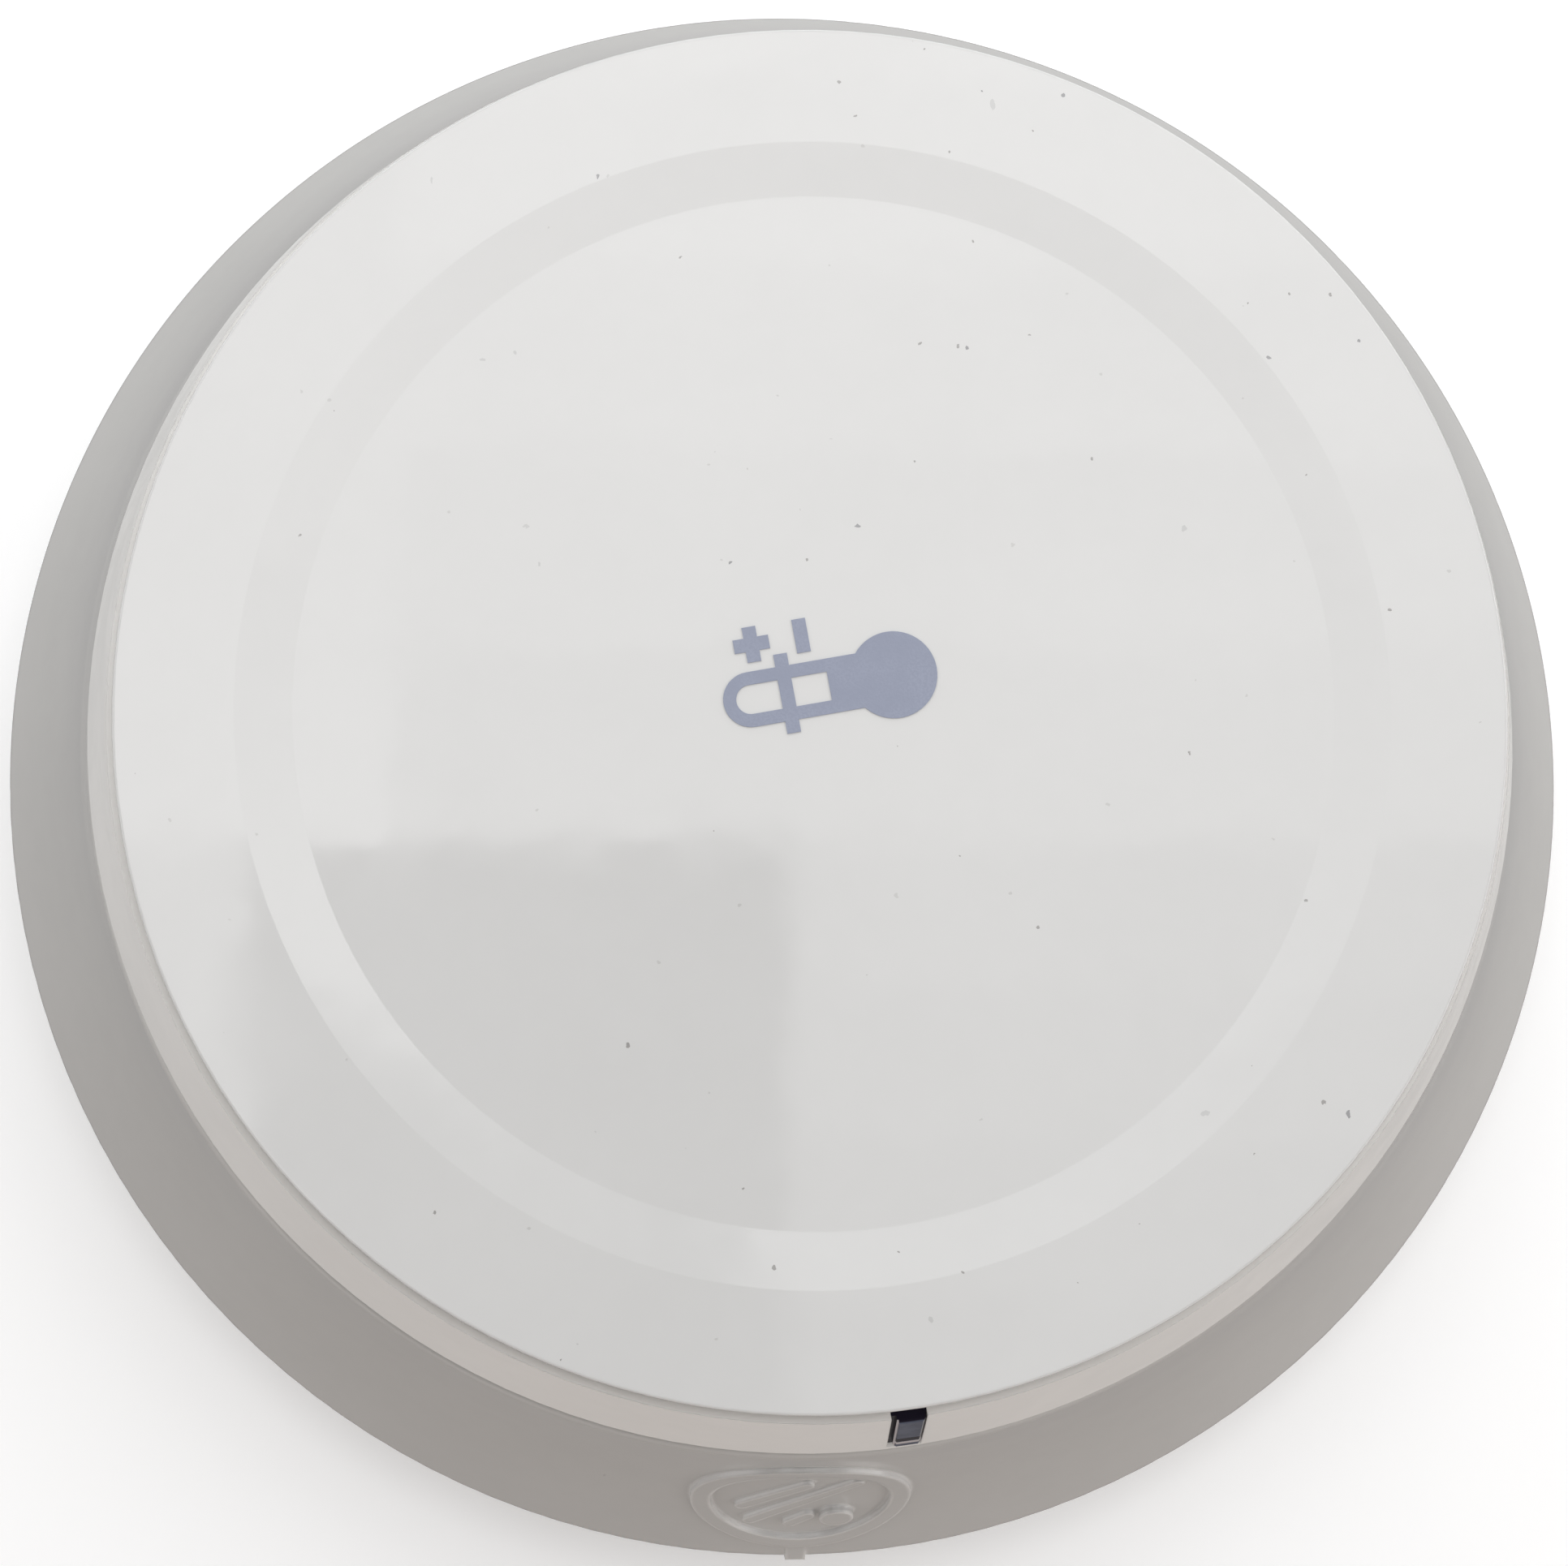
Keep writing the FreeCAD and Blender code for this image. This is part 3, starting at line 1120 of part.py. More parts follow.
# Power slider
def make_power_slider():
    """Knob in the cover's window, plate under the rails and a fork up to the slide switch."""
    plate_z = COVER_TOP + KNOB_GAP
    knob = centred(0, SLIDER_Y, KNOB_L, KNOB_W, COVER_Z + KNOB_GAP, plate_z + SLIDER_T / 2)
    grooves = [
        centred(x, SLIDER_Y, KNOB_GROOVE_W, KNOB_W, COVER_Z + KNOB_GAP, COVER_Z + 2 * KNOB_GAP)
        for x in (-KNOB_GROOVE_STEP, 0, KNOB_GROOVE_STEP)
    ]
    plate = centred(0, SLIDER_Y, SLIDER_L, SLIDER_W, plate_z, plate_z + SLIDER_T)
    nub_z = BOARD_Z - SLIDE_BODY_H - NUB_H
    stem_l = NUB_W + 2 * FORK_GAP + 2 * NUB_W
    stem = centred(0, SLIDER_Y, stem_l, STEM_W, plate_z, nub_z + NUB_H - 2 * KNOB_GAP)
    fork = centred(0, SLIDER_Y, NUB_W + 2 * FORK_GAP, STEM_W, nub_z - FORK_GAP, nub_z + NUB_H)
    return join([knob, plate, stem]).cut(join(grooves + [fork]))


def make_slide_switch_body():
    top = BOARD_Z
    low = BOARD_Z - SLIDE_BODY_H
    body = centred(SLIDER_TRAVEL / 2, SLIDER_Y, SLIDE_BODY_L, SLIDE_BODY_W, low, top)
    track_l = NUB_W + SLIDER_TRAVEL + 2 * FORK_GAP
    track_w = NUB_W + 2 * FORK_GAP
    track_z = low + NUB_DEPTH + FORK_GAP
    return body.cut(centred(SLIDER_TRAVEL / 2, SLIDER_Y, track_l, track_w, low, track_z))


def make_slide_switch_actuator():
    nub_z = BOARD_Z - SLIDE_BODY_H - NUB_H
    return centred(0, SLIDER_Y, NUB_W, NUB_W, nub_z, nub_z + NUB_H + NUB_DEPTH)


def main():
    os.makedirs("parts", exist_ok=True)
    save("mounting_plate", make_mounting_plate())
    save("back_cover", make_back_cover())
    save("housing_screws", make_housing_screws())
    save("base_housing", make_base_housing())
    save("inlet_cage", make_inlet_cage())
    save("bezel", make_bezel())
    save("indicator_lens", make_indicator_lens())
    save("light_pipe", make_light_pipe())
    save("status_led", make_status_led())
    save("test_disc", make_test_disc())
    save("printed_symbol", make_printed_symbol())
    for i, spring in enumerate(around(make_return_spring(), GUIDE_COUNT, SPRING_START_DEG)):
        save("return_spring_" + str(i + 1), spring)
    save("test_switch_body", make_test_switch_body())
    save("switch_plunger", make_switch_plunger())
    save("circuit_board", make_circuit_board())
    save("board_screws", make_board_screws())
    save("thermistor", make_thermistor())
    save("thermistor_sleeves", make_thermistor_sleeves())
    save("battery_cell", make_battery_cell())
    save("battery_pad", make_battery_pad())
    save("battery_tabs", make_battery_tabs())
    save("sounder_housing", make_sounder_housing())
    save("sounder_clamp_ring", make_sounder_clamp_ring())
    save("piezo_disc", make_piezo_disc())
    save("piezo_ceramic", make_piezo_ceramic())
    save("sounder_contacts", make_sounder_contacts())
    save("radio_board", make_radio_board())
    save("radio_shield", make_radio_shield())
    save("antenna_wire", make_antenna_wire())
    save("microcontroller", make_microcontroller())
    save("boost_inductor", make_boost_inductor())
    save("capacitors", make_capacitors())
    save("power_slider", make_power_slider())
    save("slide_switch_body", make_slide_switch_body())
    save("slide_switch_actuator", make_slide_switch_actuator())


main()
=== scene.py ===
import math
from collections import namedtuple

import bmesh
import bpy
from mathutils import Matrix, Vector


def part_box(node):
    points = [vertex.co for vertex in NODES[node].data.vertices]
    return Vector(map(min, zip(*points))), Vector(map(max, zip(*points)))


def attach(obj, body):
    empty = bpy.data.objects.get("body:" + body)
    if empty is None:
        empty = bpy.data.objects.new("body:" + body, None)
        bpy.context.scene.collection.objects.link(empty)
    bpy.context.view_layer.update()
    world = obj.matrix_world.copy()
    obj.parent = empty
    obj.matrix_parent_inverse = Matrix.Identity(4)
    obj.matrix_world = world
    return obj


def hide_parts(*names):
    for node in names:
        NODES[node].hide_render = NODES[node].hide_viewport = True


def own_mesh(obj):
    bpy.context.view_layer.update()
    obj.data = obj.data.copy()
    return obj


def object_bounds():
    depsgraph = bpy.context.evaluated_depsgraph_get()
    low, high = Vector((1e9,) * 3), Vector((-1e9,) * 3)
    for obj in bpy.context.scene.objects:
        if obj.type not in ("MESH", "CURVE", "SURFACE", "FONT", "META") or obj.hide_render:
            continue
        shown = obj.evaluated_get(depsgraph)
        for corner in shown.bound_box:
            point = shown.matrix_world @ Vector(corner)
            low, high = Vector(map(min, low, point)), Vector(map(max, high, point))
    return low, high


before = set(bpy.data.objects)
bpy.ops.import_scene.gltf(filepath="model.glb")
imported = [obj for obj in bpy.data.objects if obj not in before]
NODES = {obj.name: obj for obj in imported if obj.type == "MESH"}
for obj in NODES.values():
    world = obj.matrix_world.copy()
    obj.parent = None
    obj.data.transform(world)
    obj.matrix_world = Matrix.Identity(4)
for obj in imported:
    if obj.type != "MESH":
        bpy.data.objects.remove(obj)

# Ceiling heat alarm, lying on its back on a pale floor
# Lengths are in metres, apart from those whose name ends in MM or mm

CAD_LOW, CAD_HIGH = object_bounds()
MM = 0.001
WHITE = (1.0, 1.0, 1.0)

# Camera: the pinhole that fits the disc's edge, the bezel's foot and the outline in the photograph
PHOTO_W = 1932
SENSOR_W = 36.0
FOCAL_PX = 3028.0
CAMERA_AT = (-9.2665 * MM, -21.2215 * MM, 200.3687 * MM)
CAMERA_TURN = (-0.1029056, -0.0451315, 0.0)    # rotation vector away from looking straight down
CAMERA_CLIP = (0.01, 100.0)

# Softboxes overhead, facing down: the sides of each in millimetres, and its strength at its low and its
# high side. Each is a row of strips that go from the one strength to the other
Panel = namedtuple("Panel", "left right low high at_low at_high")
PANELS = {
    "key_panel": Panel(left=-90, right=300, low=35, high=380, at_low=0.66, at_high=1.55),
    "right_panel": Panel(left=24, right=300, low=-225, high=35, at_low=0.0, at_high=0.58),
    "left_key_panel": Panel(left=-270, right=-90, low=35, high=380, at_low=0.93, at_high=1.13),
    "left_panel": Panel(left=-270, right=-131, low=-225, high=35, at_low=0.49, at_high=0.67),
}
PANEL_Z = 600 * MM
PANEL_STRIPS = 6
RADIANCE = 7.7             # watts to a square metre of a panel with strength 1

# World: bright walls all round, between a dark ceiling and a weak glow from the ground. One goes over
# into the next between two heights on the unit sphere
WALL_GLOW = 1.7
WALL_GLOW_RIGHT = 0.38     # how much brighter the wall on the right is, and the left one darker
WALL_GLOW_BACK = 0.81      # the same for the wall at the back and the front one
WALL_TOP = (0.55, 0.75)
WALL_WARM = (1.0, 0.92, 0.87)    # colour of the front wall
WALL_WARM_FADE = (-0.8, 0.2)     # where it turns to white, on the way from the front to the back
GROUND_GLOW = 0.35
HORIZON = (-0.06, -0.02)

FLOOR_HALF = 30.0
FLOOR_DROP = 0.15 * MM
FLOOR_COLOUR = (0.876, 0.882, 0.888)
FLOOR_PATCH = 0.985        # brightness of its darkest patches
FLOOR_GLOW = 0.2           # as of a light table, so that shadows on it stay pale

# Return springs: a coil with closed ends in the place of each solid
SPRING_COUNT = 3
SPRING_WIRE_R = 0.3 * MM
SPRING_TURNS = 6.0
SPRING_CLOSED_TURNS = 0.9        # at each end, where the turns lie on each other
SPRING_CLOSED_PITCH = 0.64 * MM
SPRING_STEPS = 28                # rings of the tube in one turn
SPRING_SIDES = 12

# Textures
NOISE_SPREAD = (0.3, 0.7)        # noise seldom leaves this range, which is stretched to 0 to 1
EDGE_SAMPLES = 6
EDGE_ALIKE = (0.9, 0.985)        # rounded normal times the face's own, on an edge and away from it

# Moulded plastic: mottled at two sizes, and with smudges that shine more or less
CLOUD_MM = 17.0
CLOUD_SHARE = 0.7
MOTTLE_MM = 1.9
SMUDGE_MM = 9.0
SMUDGE_SPREAD = (0.25, 0.75)

# Dust: specks of one colour in some of the cells of a random grid, which is moved by a shift and squeezed
# along its axes. Squeezed specks look like lint
Dust = namedtuple("Dust", "colour cell_mm radius_mm shift_mm squeeze", defaults=[(1.0, 1.0)])
DISC_DUST = (
    Dust(colour=(0.2, 0.19, 0.18), cell_mm=1.9, radius_mm=0.14, shift_mm=3.0),
    Dust(colour=(0.12, 0.12, 0.13), cell_mm=4.2, radius_mm=0.2, shift_mm=11.0),
    Dust(colour=(0.16, 0.16, 0.17), cell_mm=3.3, radius_mm=0.16, shift_mm=7.0, squeeze=(0.45, 1.0)),
    Dust(colour=(0.16, 0.16, 0.17), cell_mm=3.7, radius_mm=0.16, shift_mm=19.0, squeeze=(1.0, 0.4)),
)
BEZEL_DUST = Dust(colour=(0.3, 0.29, 0.27), cell_mm=4.0, radius_mm=0.12, shift_mm=23.0)
HOUSING_DUST = Dust(colour=(0.2, 0.19, 0.18), cell_mm=4.5, radius_mm=0.13, shift_mm=5.0)
DUST_SHARE = 0.1                 # share of the cells with a speck, on the bezel and the housing
DISC_DUST_SHARE = (0.34, 0.62)   # the same on the disc, from its near left to its far right
DISC_DUST_MM = (-60.0, 35.0)     # x + y where that share begins and stops to grow
DUST_SHIFT_Y = 2.7               # the shift along Y is this many times the one along X
DUST_SMALLEST = 0.4              # smallest speck, as a share of the largest
DUST_FAINT = (0.22, 0.72)        # how much of the colour below the faintest and the boldest speck hide
DUST_RAGGED_MM = 0.45            # size of the noise that frays a speck
DUST_PUSH_MM = 0.5               # how far it pushes the speck's edge

# The disc, the bezel and the housing are one white plastic: their different tones are painted light and
# shade, the bezel painted lighter and the housing darker, for how light falls on each
DISC_WHITE = (0.578, 0.58, 0.577)
DISC_SIDE_PAINTED_LIGHT = (0.67, 0.665, 0.655)
DISC_SIDE_MM = (1.0, 0.6)        # the side with painted light begins this far below the disc's highest point
BEZEL_WHITE = (0.9, 0.893, 0.875)
HOUSING_WHITE = (0.49, 0.485, 0.475)
# Colour of the painted highlight along the housing's rounded edges
HOUSING_EDGE_HIGHLIGHT = (0.8, 0.793, 0.78)
INNER_WHITE = (0.74, 0.74, 0.71)
BLACK = (0.028, 0.028, 0.031)

# Smoked window: a raised block beside a shoulder painted dark as shade, with a painted highlight down its
# left edge and one above its foot, and a band of painted shade above that. Depths are measured back from
# the block's face, and highlights and bands from its left side or its foot
WINDOW_DEG = -82.8
WINDOW_LEAN = math.tan(math.radians(20.07))
WINDOW_BLOCK_MM = 0.3            # the whole block lies less deep than this
WINDOW_FACE_MM = (0.14, 0.04)    # from painted shade to unshaded between these depths
WINDOW_LEFT_HIGHLIGHT_MM = (0.0, 0.07)
WINDOW_FOOT_HIGHLIGHT_MM = (0.95, 1.45)
WINDOW_SHADE_BAND_MM = (1.65, 2.5)
WINDOW_FADE_MM = 0.07
WINDOW_SMOKE = (0.075, 0.083, 0.115)
WINDOW_HAZE = (0.11, 0.122, 0.165)
# Painted shade on the block's sides, on the shoulder and in the band above the foot
WINDOW_PAINTED_SHADE = (0.012, 0.01, 0.018)
# Colour of the painted highlights down the block's left edge and above its foot
WINDOW_HIGHLIGHT = (0.5, 0.47, 0.48)

# Circuit board: sizes of the random cells that the tracks run between and that the pads sit in. The
# other two are shares of a cell
TRACK_CELL_MM = 2.3
TRACK_EDGE = (0.03, 0.05)
PAD_CELL_MM = 3.1
PAD_RADIUS = 0.16


class Nodes:
    """A node tree and the nodes of plain arithmetic that it needs."""

    def __init__(self, owner):
        owner.use_nodes = True
        self.tree = owner.node_tree

    def add(self, kind, **settings):
        node = self.tree.nodes.new(kind)
        for key, value in settings.items():
            setattr(node, key, value)
        return node

    def link(self, start, end):
        self.tree.links.new(start, end)

    def feed(self, value, socket):
        """Gives a socket its value: a number, a vector, or another node's output."""
        if isinstance(value, (int, float, tuple)):
            socket.default_value = value
        else:
            self.link(value, socket)

    def ranged(self, value, low, high, to_low=0.0, to_high=1.0, smooth=True):
        """Stretches low to high into to_low to to_high, and holds it there beyond them."""
        node = self.add("ShaderNodeMapRange")
        node.interpolation_type = "SMOOTHSTEP" if smooth else "LINEAR"
        for key, number in (("From Min", low), ("From Max", high), ("To Min", to_low), ("To Max", to_high)):
            node.inputs[key].default_value = number
        self.link(value, node.inputs["Value"])
        return node.outputs["Result"]

    def math(self, operation, a, b):
        node = self.add("ShaderNodeMath", operation=operation)
        self.feed(a, node.inputs[0])
        self.feed(b, node.inputs[1])
        return node.outputs[0]

    def vector(self, operation, *values):
        """The node of a sum, product or length of vectors; each is a vector or a socket."""
        node = self.add("ShaderNodeVectorMath", operation=operation)
        for value, socket in zip(values, node.inputs):
            self.feed(value, socket)
        return node

    def mix(self, share, first, second):
        """A colour between two others; each is a colour or a socket."""
        node = self.add("ShaderNodeMix", data_type="RGBA")
        self.feed(share, node.inputs[0])
        for value, socket in ((first, node.inputs[6]), (second, node.inputs[7])):
            self.feed((*value, 1.0) if isinstance(value, tuple) else value, socket)
        return node.outputs[2]


class Finish(Nodes):
    """One procedural material; its textures are measured in millimetres in the object's own frame."""

    def __init__(self, name):
        self.material = bpy.data.materials.new(name)
        super().__init__(self.material)
        self.shader = self.tree.nodes["Principled BSDF"]
        coordinates = self.add("ShaderNodeTexCoord")
        scale = self.vector("SCALE", coordinates.outputs["Object"])
        scale.inputs["Scale"].default_value = 1 / MM
        self.mm = scale.outputs[0]
        self.base = None
        self.normals = []

    def set(self, **values):
        for key, value in values.items():
            self.shader.inputs[key.replace("_", " ")].default_value = value

    def axes(self):
        """The millimetre coordinates one by one."""
        node = self.add("ShaderNodeSeparateXYZ")
        self.link(self.mm, node.inputs[0])
        return node.outputs

    def stretched(self, scale):
        """The millimetre coordinates, scaled by a different factor along each axis."""
        mapping = self.add("ShaderNodeMapping")
        mapping.inputs["Scale"].default_value = scale
        self.link(self.mm, mapping.inputs["Vector"])
        return mapping.outputs[0]

    def noise(self, size_mm, detail=2.0, vector=None, roughness=0.5, distortion=0.0):
        node = self.add("ShaderNodeTexNoise")
        node.inputs["Scale"].default_value = 1 / size_mm
        node.inputs["Detail"].default_value = detail
        node.inputs["Roughness"].default_value = roughness
        node.inputs["Distortion"].default_value = distortion
        self.link(self.mm if vector is None else vector, node.inputs["Vector"])
        return node.outputs["Fac"]

    def clouds(self, size_mm, detail=2.0, spread=NOISE_SPREAD, **pattern):
        """Noise that fills 0 to 1."""
        return self.ranged(self.noise(size_mm, detail, **pattern), *spread)

    def cells(self, size_mm, feature="F1", vector=None):
        node = self.add("ShaderNodeTexVoronoi", feature=feature)
        node.inputs["Scale"].default_value = 1 / size_mm
        self.link(self.mm if vector is None else vector, node.inputs["Vector"])
        return node

    def band(self, value, start, limits, fade):
        """1 where the value is within limits beyond start, and 0 a fade away from them."""
        low, high = (start + limit for limit in limits)
        return self.math("MULTIPLY", self.ranged(value, low - fade, low),
                         self.ranged(value, high, high + fade, 1.0, 0.0))

    def colour(self, socket):
        self.base = socket
        self.link(socket, self.shader.inputs["Base Color"])

    def roughness(self, value, low, high, spread=(0.0, 1.0)):
        """Roughness from low to high as the value goes through its spread."""
        self.link(self.ranged(value, *spread, low, high), self.shader.inputs["Roughness"])

    def round_edges(self, radius_mm):
        """Shades sharp edges as if they had this radius; it comes before any bump."""
        node = self.add("ShaderNodeBevel", samples=EDGE_SAMPLES)
        node.inputs["Radius"].default_value = radius_mm * MM
        self.normals.append(node.outputs["Normal"])
        self.link(node.outputs["Normal"], self.shader.inputs["Normal"])

    def edges(self):
        """1 along the edges that round_edges softens, and 0 away from them."""
        geometry = self.add("ShaderNodeNewGeometry")
        alike = self.vector("DOT_PRODUCT", self.normals[0], geometry.outputs["Normal"])
        return self.ranged(alike.outputs["Value"], *EDGE_ALIKE, 1.0, 0.0)

    def bump(self, height, depth_mm):
        """Adds a height between 0 and 1, depth_mm deep; the last one reaches the shader."""
        node = self.add("ShaderNodeBump")
        node.inputs["Strength"].default_value = 1.0
        node.inputs["Distance"].default_value = depth_mm * MM
        self.link(height, node.inputs["Height"])
        if self.normals:
            self.link(self.normals[-1], node.inputs["Normal"])
        self.normals.append(node.outputs["Normal"])
        self.link(node.outputs["Normal"], self.shader.inputs["Normal"])


def shade(colour, factor):
    return tuple(min(1.0, value * factor) for value in colour)


# White and other moulded plastics
def moulded(name, colour, roughness, grain_mm=0.35, grain_depth_mm=0.0006, mottle=0.02, wear=0.05,
            edge_mm=0.0):
    """Moulded plastic: faint cloudy colour, uneven gloss, and the fine grain of the tool."""
    finish = Finish(name)
    if edge_mm:
        finish.round_edges(edge_mm)
    clouds = finish.math("MULTIPLY", finish.clouds(CLOUD_MM, detail=3.0), CLOUD_SHARE)
    fine = finish.math("MULTIPLY", finish.clouds(MOTTLE_MM), 1 - CLOUD_SHARE)
    share = finish.math("ADD", clouds, fine)
    finish.colour(finish.mix(share, shade(colour, 1 - mottle), shade(colour, 1 + mottle)))
    smudge = finish.clouds(SMUDGE_MM, detail=4.0, spread=SMUDGE_SPREAD, roughness=0.6, distortion=0.8)
    finish.roughness(smudge, roughness - wear / 2, roughness + wear / 2)
    finish.bump(finish.noise(grain_mm), grain_depth_mm)
    return finish


def add_dust(finish, dust, share):
    """Sparse specks of dust and lint: a small ragged blot in a few of the cells of a random grid."""
    ragged = finish.add("ShaderNodeTexNoise")
    ragged.inputs["Scale"].default_value = 1 / DUST_RAGGED_MM
    ragged.inputs["Detail"].default_value = 3.0
    finish.link(finish.mm, ragged.inputs["Vector"])
    push = (DUST_PUSH_MM, DUST_PUSH_MM, 0.0)
    pushed = finish.vector("MULTIPLY_ADD", ragged.outputs["Color"], push, finish.mm)
    shift = (dust.shift_mm, dust.shift_mm * DUST_SHIFT_Y, 0.0)
    moved = finish.vector("ADD", pushed.outputs[0], shift)
    flat = finish.vector("MULTIPLY", moved.outputs[0], (*dust.squeeze, 0.0))
    cells = finish.cells(dust.cell_mm, vector=flat.outputs[0])
    parts = finish.add("ShaderNodeSeparateColor")
    finish.link(cells.outputs["Color"], parts.inputs[0])
    chance, size, strength = parts.outputs
    chosen = finish.math("LESS_THAN", chance, share)
    largest = dust.radius_mm / dust.cell_mm
    radius = finish.ranged(size, 0.0, 1.0, DUST_SMALLEST * largest, largest, smooth=False)
    inside = finish.math("LESS_THAN", cells.outputs["Distance"], radius)
    faint = finish.ranged(strength, 0.0, 1.0, *DUST_FAINT, smooth=False)
    speck = finish.math("MULTIPLY", finish.math("MULTIPLY", chosen, inside), faint)
    finish.colour(finish.mix(speck, finish.base, dust.colour))


def white_disc():
    """Glossy and slightly wavy, with most dust on the far right, and painted light on its side."""
    finish = moulded("disc_white_gloss", DISC_WHITE, roughness=0.07, grain_depth_mm=0.0003, mottle=0.012,
                     wear=0.04, edge_mm=0.12)
    x, y, z = finish.axes()
    share = finish.ranged(finish.math("ADD", x, y), *DISC_DUST_MM, *DISC_DUST_SHARE)
    for dust in DISC_DUST:
        add_dust(finish, dust, share)
    finish.set(Specular_IOR_Level=0.72)
    top = max(vertex.co.z for vertex in NODES["test_disc"].data.vertices) / MM
    # Painted light: the disc's side is made paler than its top
    face = finish.ranged(z, *(top - depth for depth in DISC_SIDE_MM))
    finish.colour(finish.mix(face, DISC_SIDE_PAINTED_LIGHT, finish.base))
    finish.bump(finish.noise(size_mm=10.0), depth_mm=0.03)
    return finish


def white_bezel():
    finish = moulded("bezel_white_gloss", BEZEL_WHITE, roughness=0.16, mottle=0.015, edge_mm=0.15)
    add_dust(finish, BEZEL_DUST, DUST_SHARE)
    return finish


def white_housing():
    finish = moulded("housing_white_gloss", HOUSING_WHITE, roughness=0.07, wear=0.03, edge_mm=0.5)
    finish.set(Specular_IOR_Level=0.8)
    add_dust(finish, HOUSING_DUST, DUST_SHARE)
    # Painted highlight along the housing's rounded edges
    finish.colour(finish.mix(finish.edges(), finish.base, HOUSING_EDGE_HIGHLIGHT))
    finish.bump(finish.noise(size_mm=11.0, detail=1.0), depth_mm=0.005)
    return finish


def inner_white():
    return moulded("inner_white_satin", INNER_WHITE, roughness=0.42, grain_mm=0.5, grain_depth_mm=0.002)


def black_plastic(name="black_plastic", roughness=0.45):
    return moulded(name, BLACK, roughness, grain_mm=0.25, grain_depth_mm=0.0015, mottle=0.2)


def print_ink():
    finish = Finish("grey_blue_ink")
    grain = finish.clouds(size_mm=0.16, spread=(0.35, 0.65))
    share = finish.math("MULTIPLY", grain, finish.clouds(size_mm=2.5))
    finish.colour(finish.mix(share, (0.232, 0.257, 0.34), (0.256, 0.282, 0.369)))
    finish.roughness(grain, 0.28, 0.38)
    finish.bump(grain, depth_mm=0.002)
    return finish


# Windows and other clear plastics
def window_place(across):
    """How far out the block's face lies, and where its left side and its foot are, in millimetres."""
    points = []
    for vertex in NODES["indicator_lens"].data.vertices:
        x, y, z = vertex.co / MM
        points.append((math.hypot(x, y) + z * WINDOW_LEAN, x * across[0] + y * across[1], z))
    face = max(out for out, side, height in points)
    block = [point for point in points if point[0] > face - WINDOW_BLOCK_MM]
    return face, min(side for out, side, height in block), min(height for out, side, height in block)


def smoked_window():
    finish = Finish("smoked_window")
    turn = math.radians(WINDOW_DEG)
    across = (-math.sin(turn), math.cos(turn), 0.0)
    face, left, foot = window_place(across)
    height = finish.axes()[2]
    radius = finish.vector("LENGTH", finish.stretched((1.0, 1.0, 0.0))).outputs["Value"]
    out = finish.math("ADD", radius, finish.math("MULTIPLY", height, WINDOW_LEAN))
    side = finish.vector("DOT_PRODUCT", finish.mm, across).outputs["Value"]
    block_back = face - WINDOW_BLOCK_MM
    on_block = finish.ranged(out, block_back, block_back + WINDOW_FADE_MM)
    on_face = finish.ranged(out, *(face - depth for depth in WINDOW_FACE_MM))
    # Painted highlights: a light line down the block's left edge and one above its foot
    left_highlight = finish.band(side, left, WINDOW_LEFT_HIGHLIGHT_MM, WINDOW_FADE_MM)
    foot_highlight = finish.band(height, foot, WINDOW_FOOT_HIGHLIGHT_MM, WINDOW_FADE_MM)
    # Painted shade: a dark band above the foot, and dark on the sides and shoulder behind the block's face
    shade_band = finish.band(height, foot, WINDOW_SHADE_BAND_MM, WINDOW_FADE_MM)
    haze = finish.clouds(size_mm=1.2, detail=3.0)
    lit = finish.math("MULTIPLY", on_face, finish.math("SUBTRACT", 1.0, shade_band))
    smoke = finish.mix(lit, WINDOW_PAINTED_SHADE, finish.mix(haze, WINDOW_SMOKE, WINDOW_HAZE))
    highlights = finish.math("MULTIPLY", finish.math("MAXIMUM", left_highlight, foot_highlight), on_block)
    finish.colour(finish.mix(highlights, smoke, WINDOW_HIGHLIGHT))
    finish.roughness(haze, 0.08, 0.16)
    finish.set(Specular_IOR_Level=0.01)
    finish.bump(finish.noise(size_mm=0.8, detail=1.0), depth_mm=0.001)
    return finish


def clear_plastic():
    finish = Finish("clear_acrylic")
    haze = finish.clouds(size_mm=2.0, detail=3.0)
    finish.colour(finish.mix(haze, (0.9, 0.92, 0.93), (0.97, 0.98, 0.98)))
    finish.roughness(haze, 0.03, 0.1)
    finish.set(Transmission_Weight=0.9, IOR=1.49)
    return finish


def led():
    finish = Finish("led_epoxy")
    glow = finish.clouds(size_mm=0.5)
    finish.colour(finish.mix(glow, (0.8, 0.78, 0.55), (0.86, 0.85, 0.75)))
    finish.roughness(glow, 0.12, 0.22)
    return finish


# Metals and the parts of the circuit
def metal(name, colour, roughness, streak_mm=(0.15, 3.0, 0.15)):
    """Drawn or plated metal, with streaks along its local Y unless streak_mm says otherwise."""
    finish = Finish(name)
    along = finish.stretched(tuple(1 / size for size in streak_mm))
    streaks = finish.noise(size_mm=1.0, detail=3.0, vector=along)
    patch = finish.clouds(size_mm=2.2, detail=3.0)
    finish.colour(finish.mix(patch, shade(colour, 0.88), shade(colour, 1.06)))
    finish.roughness(streaks, roughness - 0.06, roughness + 0.1, spread=NOISE_SPREAD)
    finish.set(Metallic=1.0)
    finish.bump(streaks, depth_mm=0.0008)
    return finish


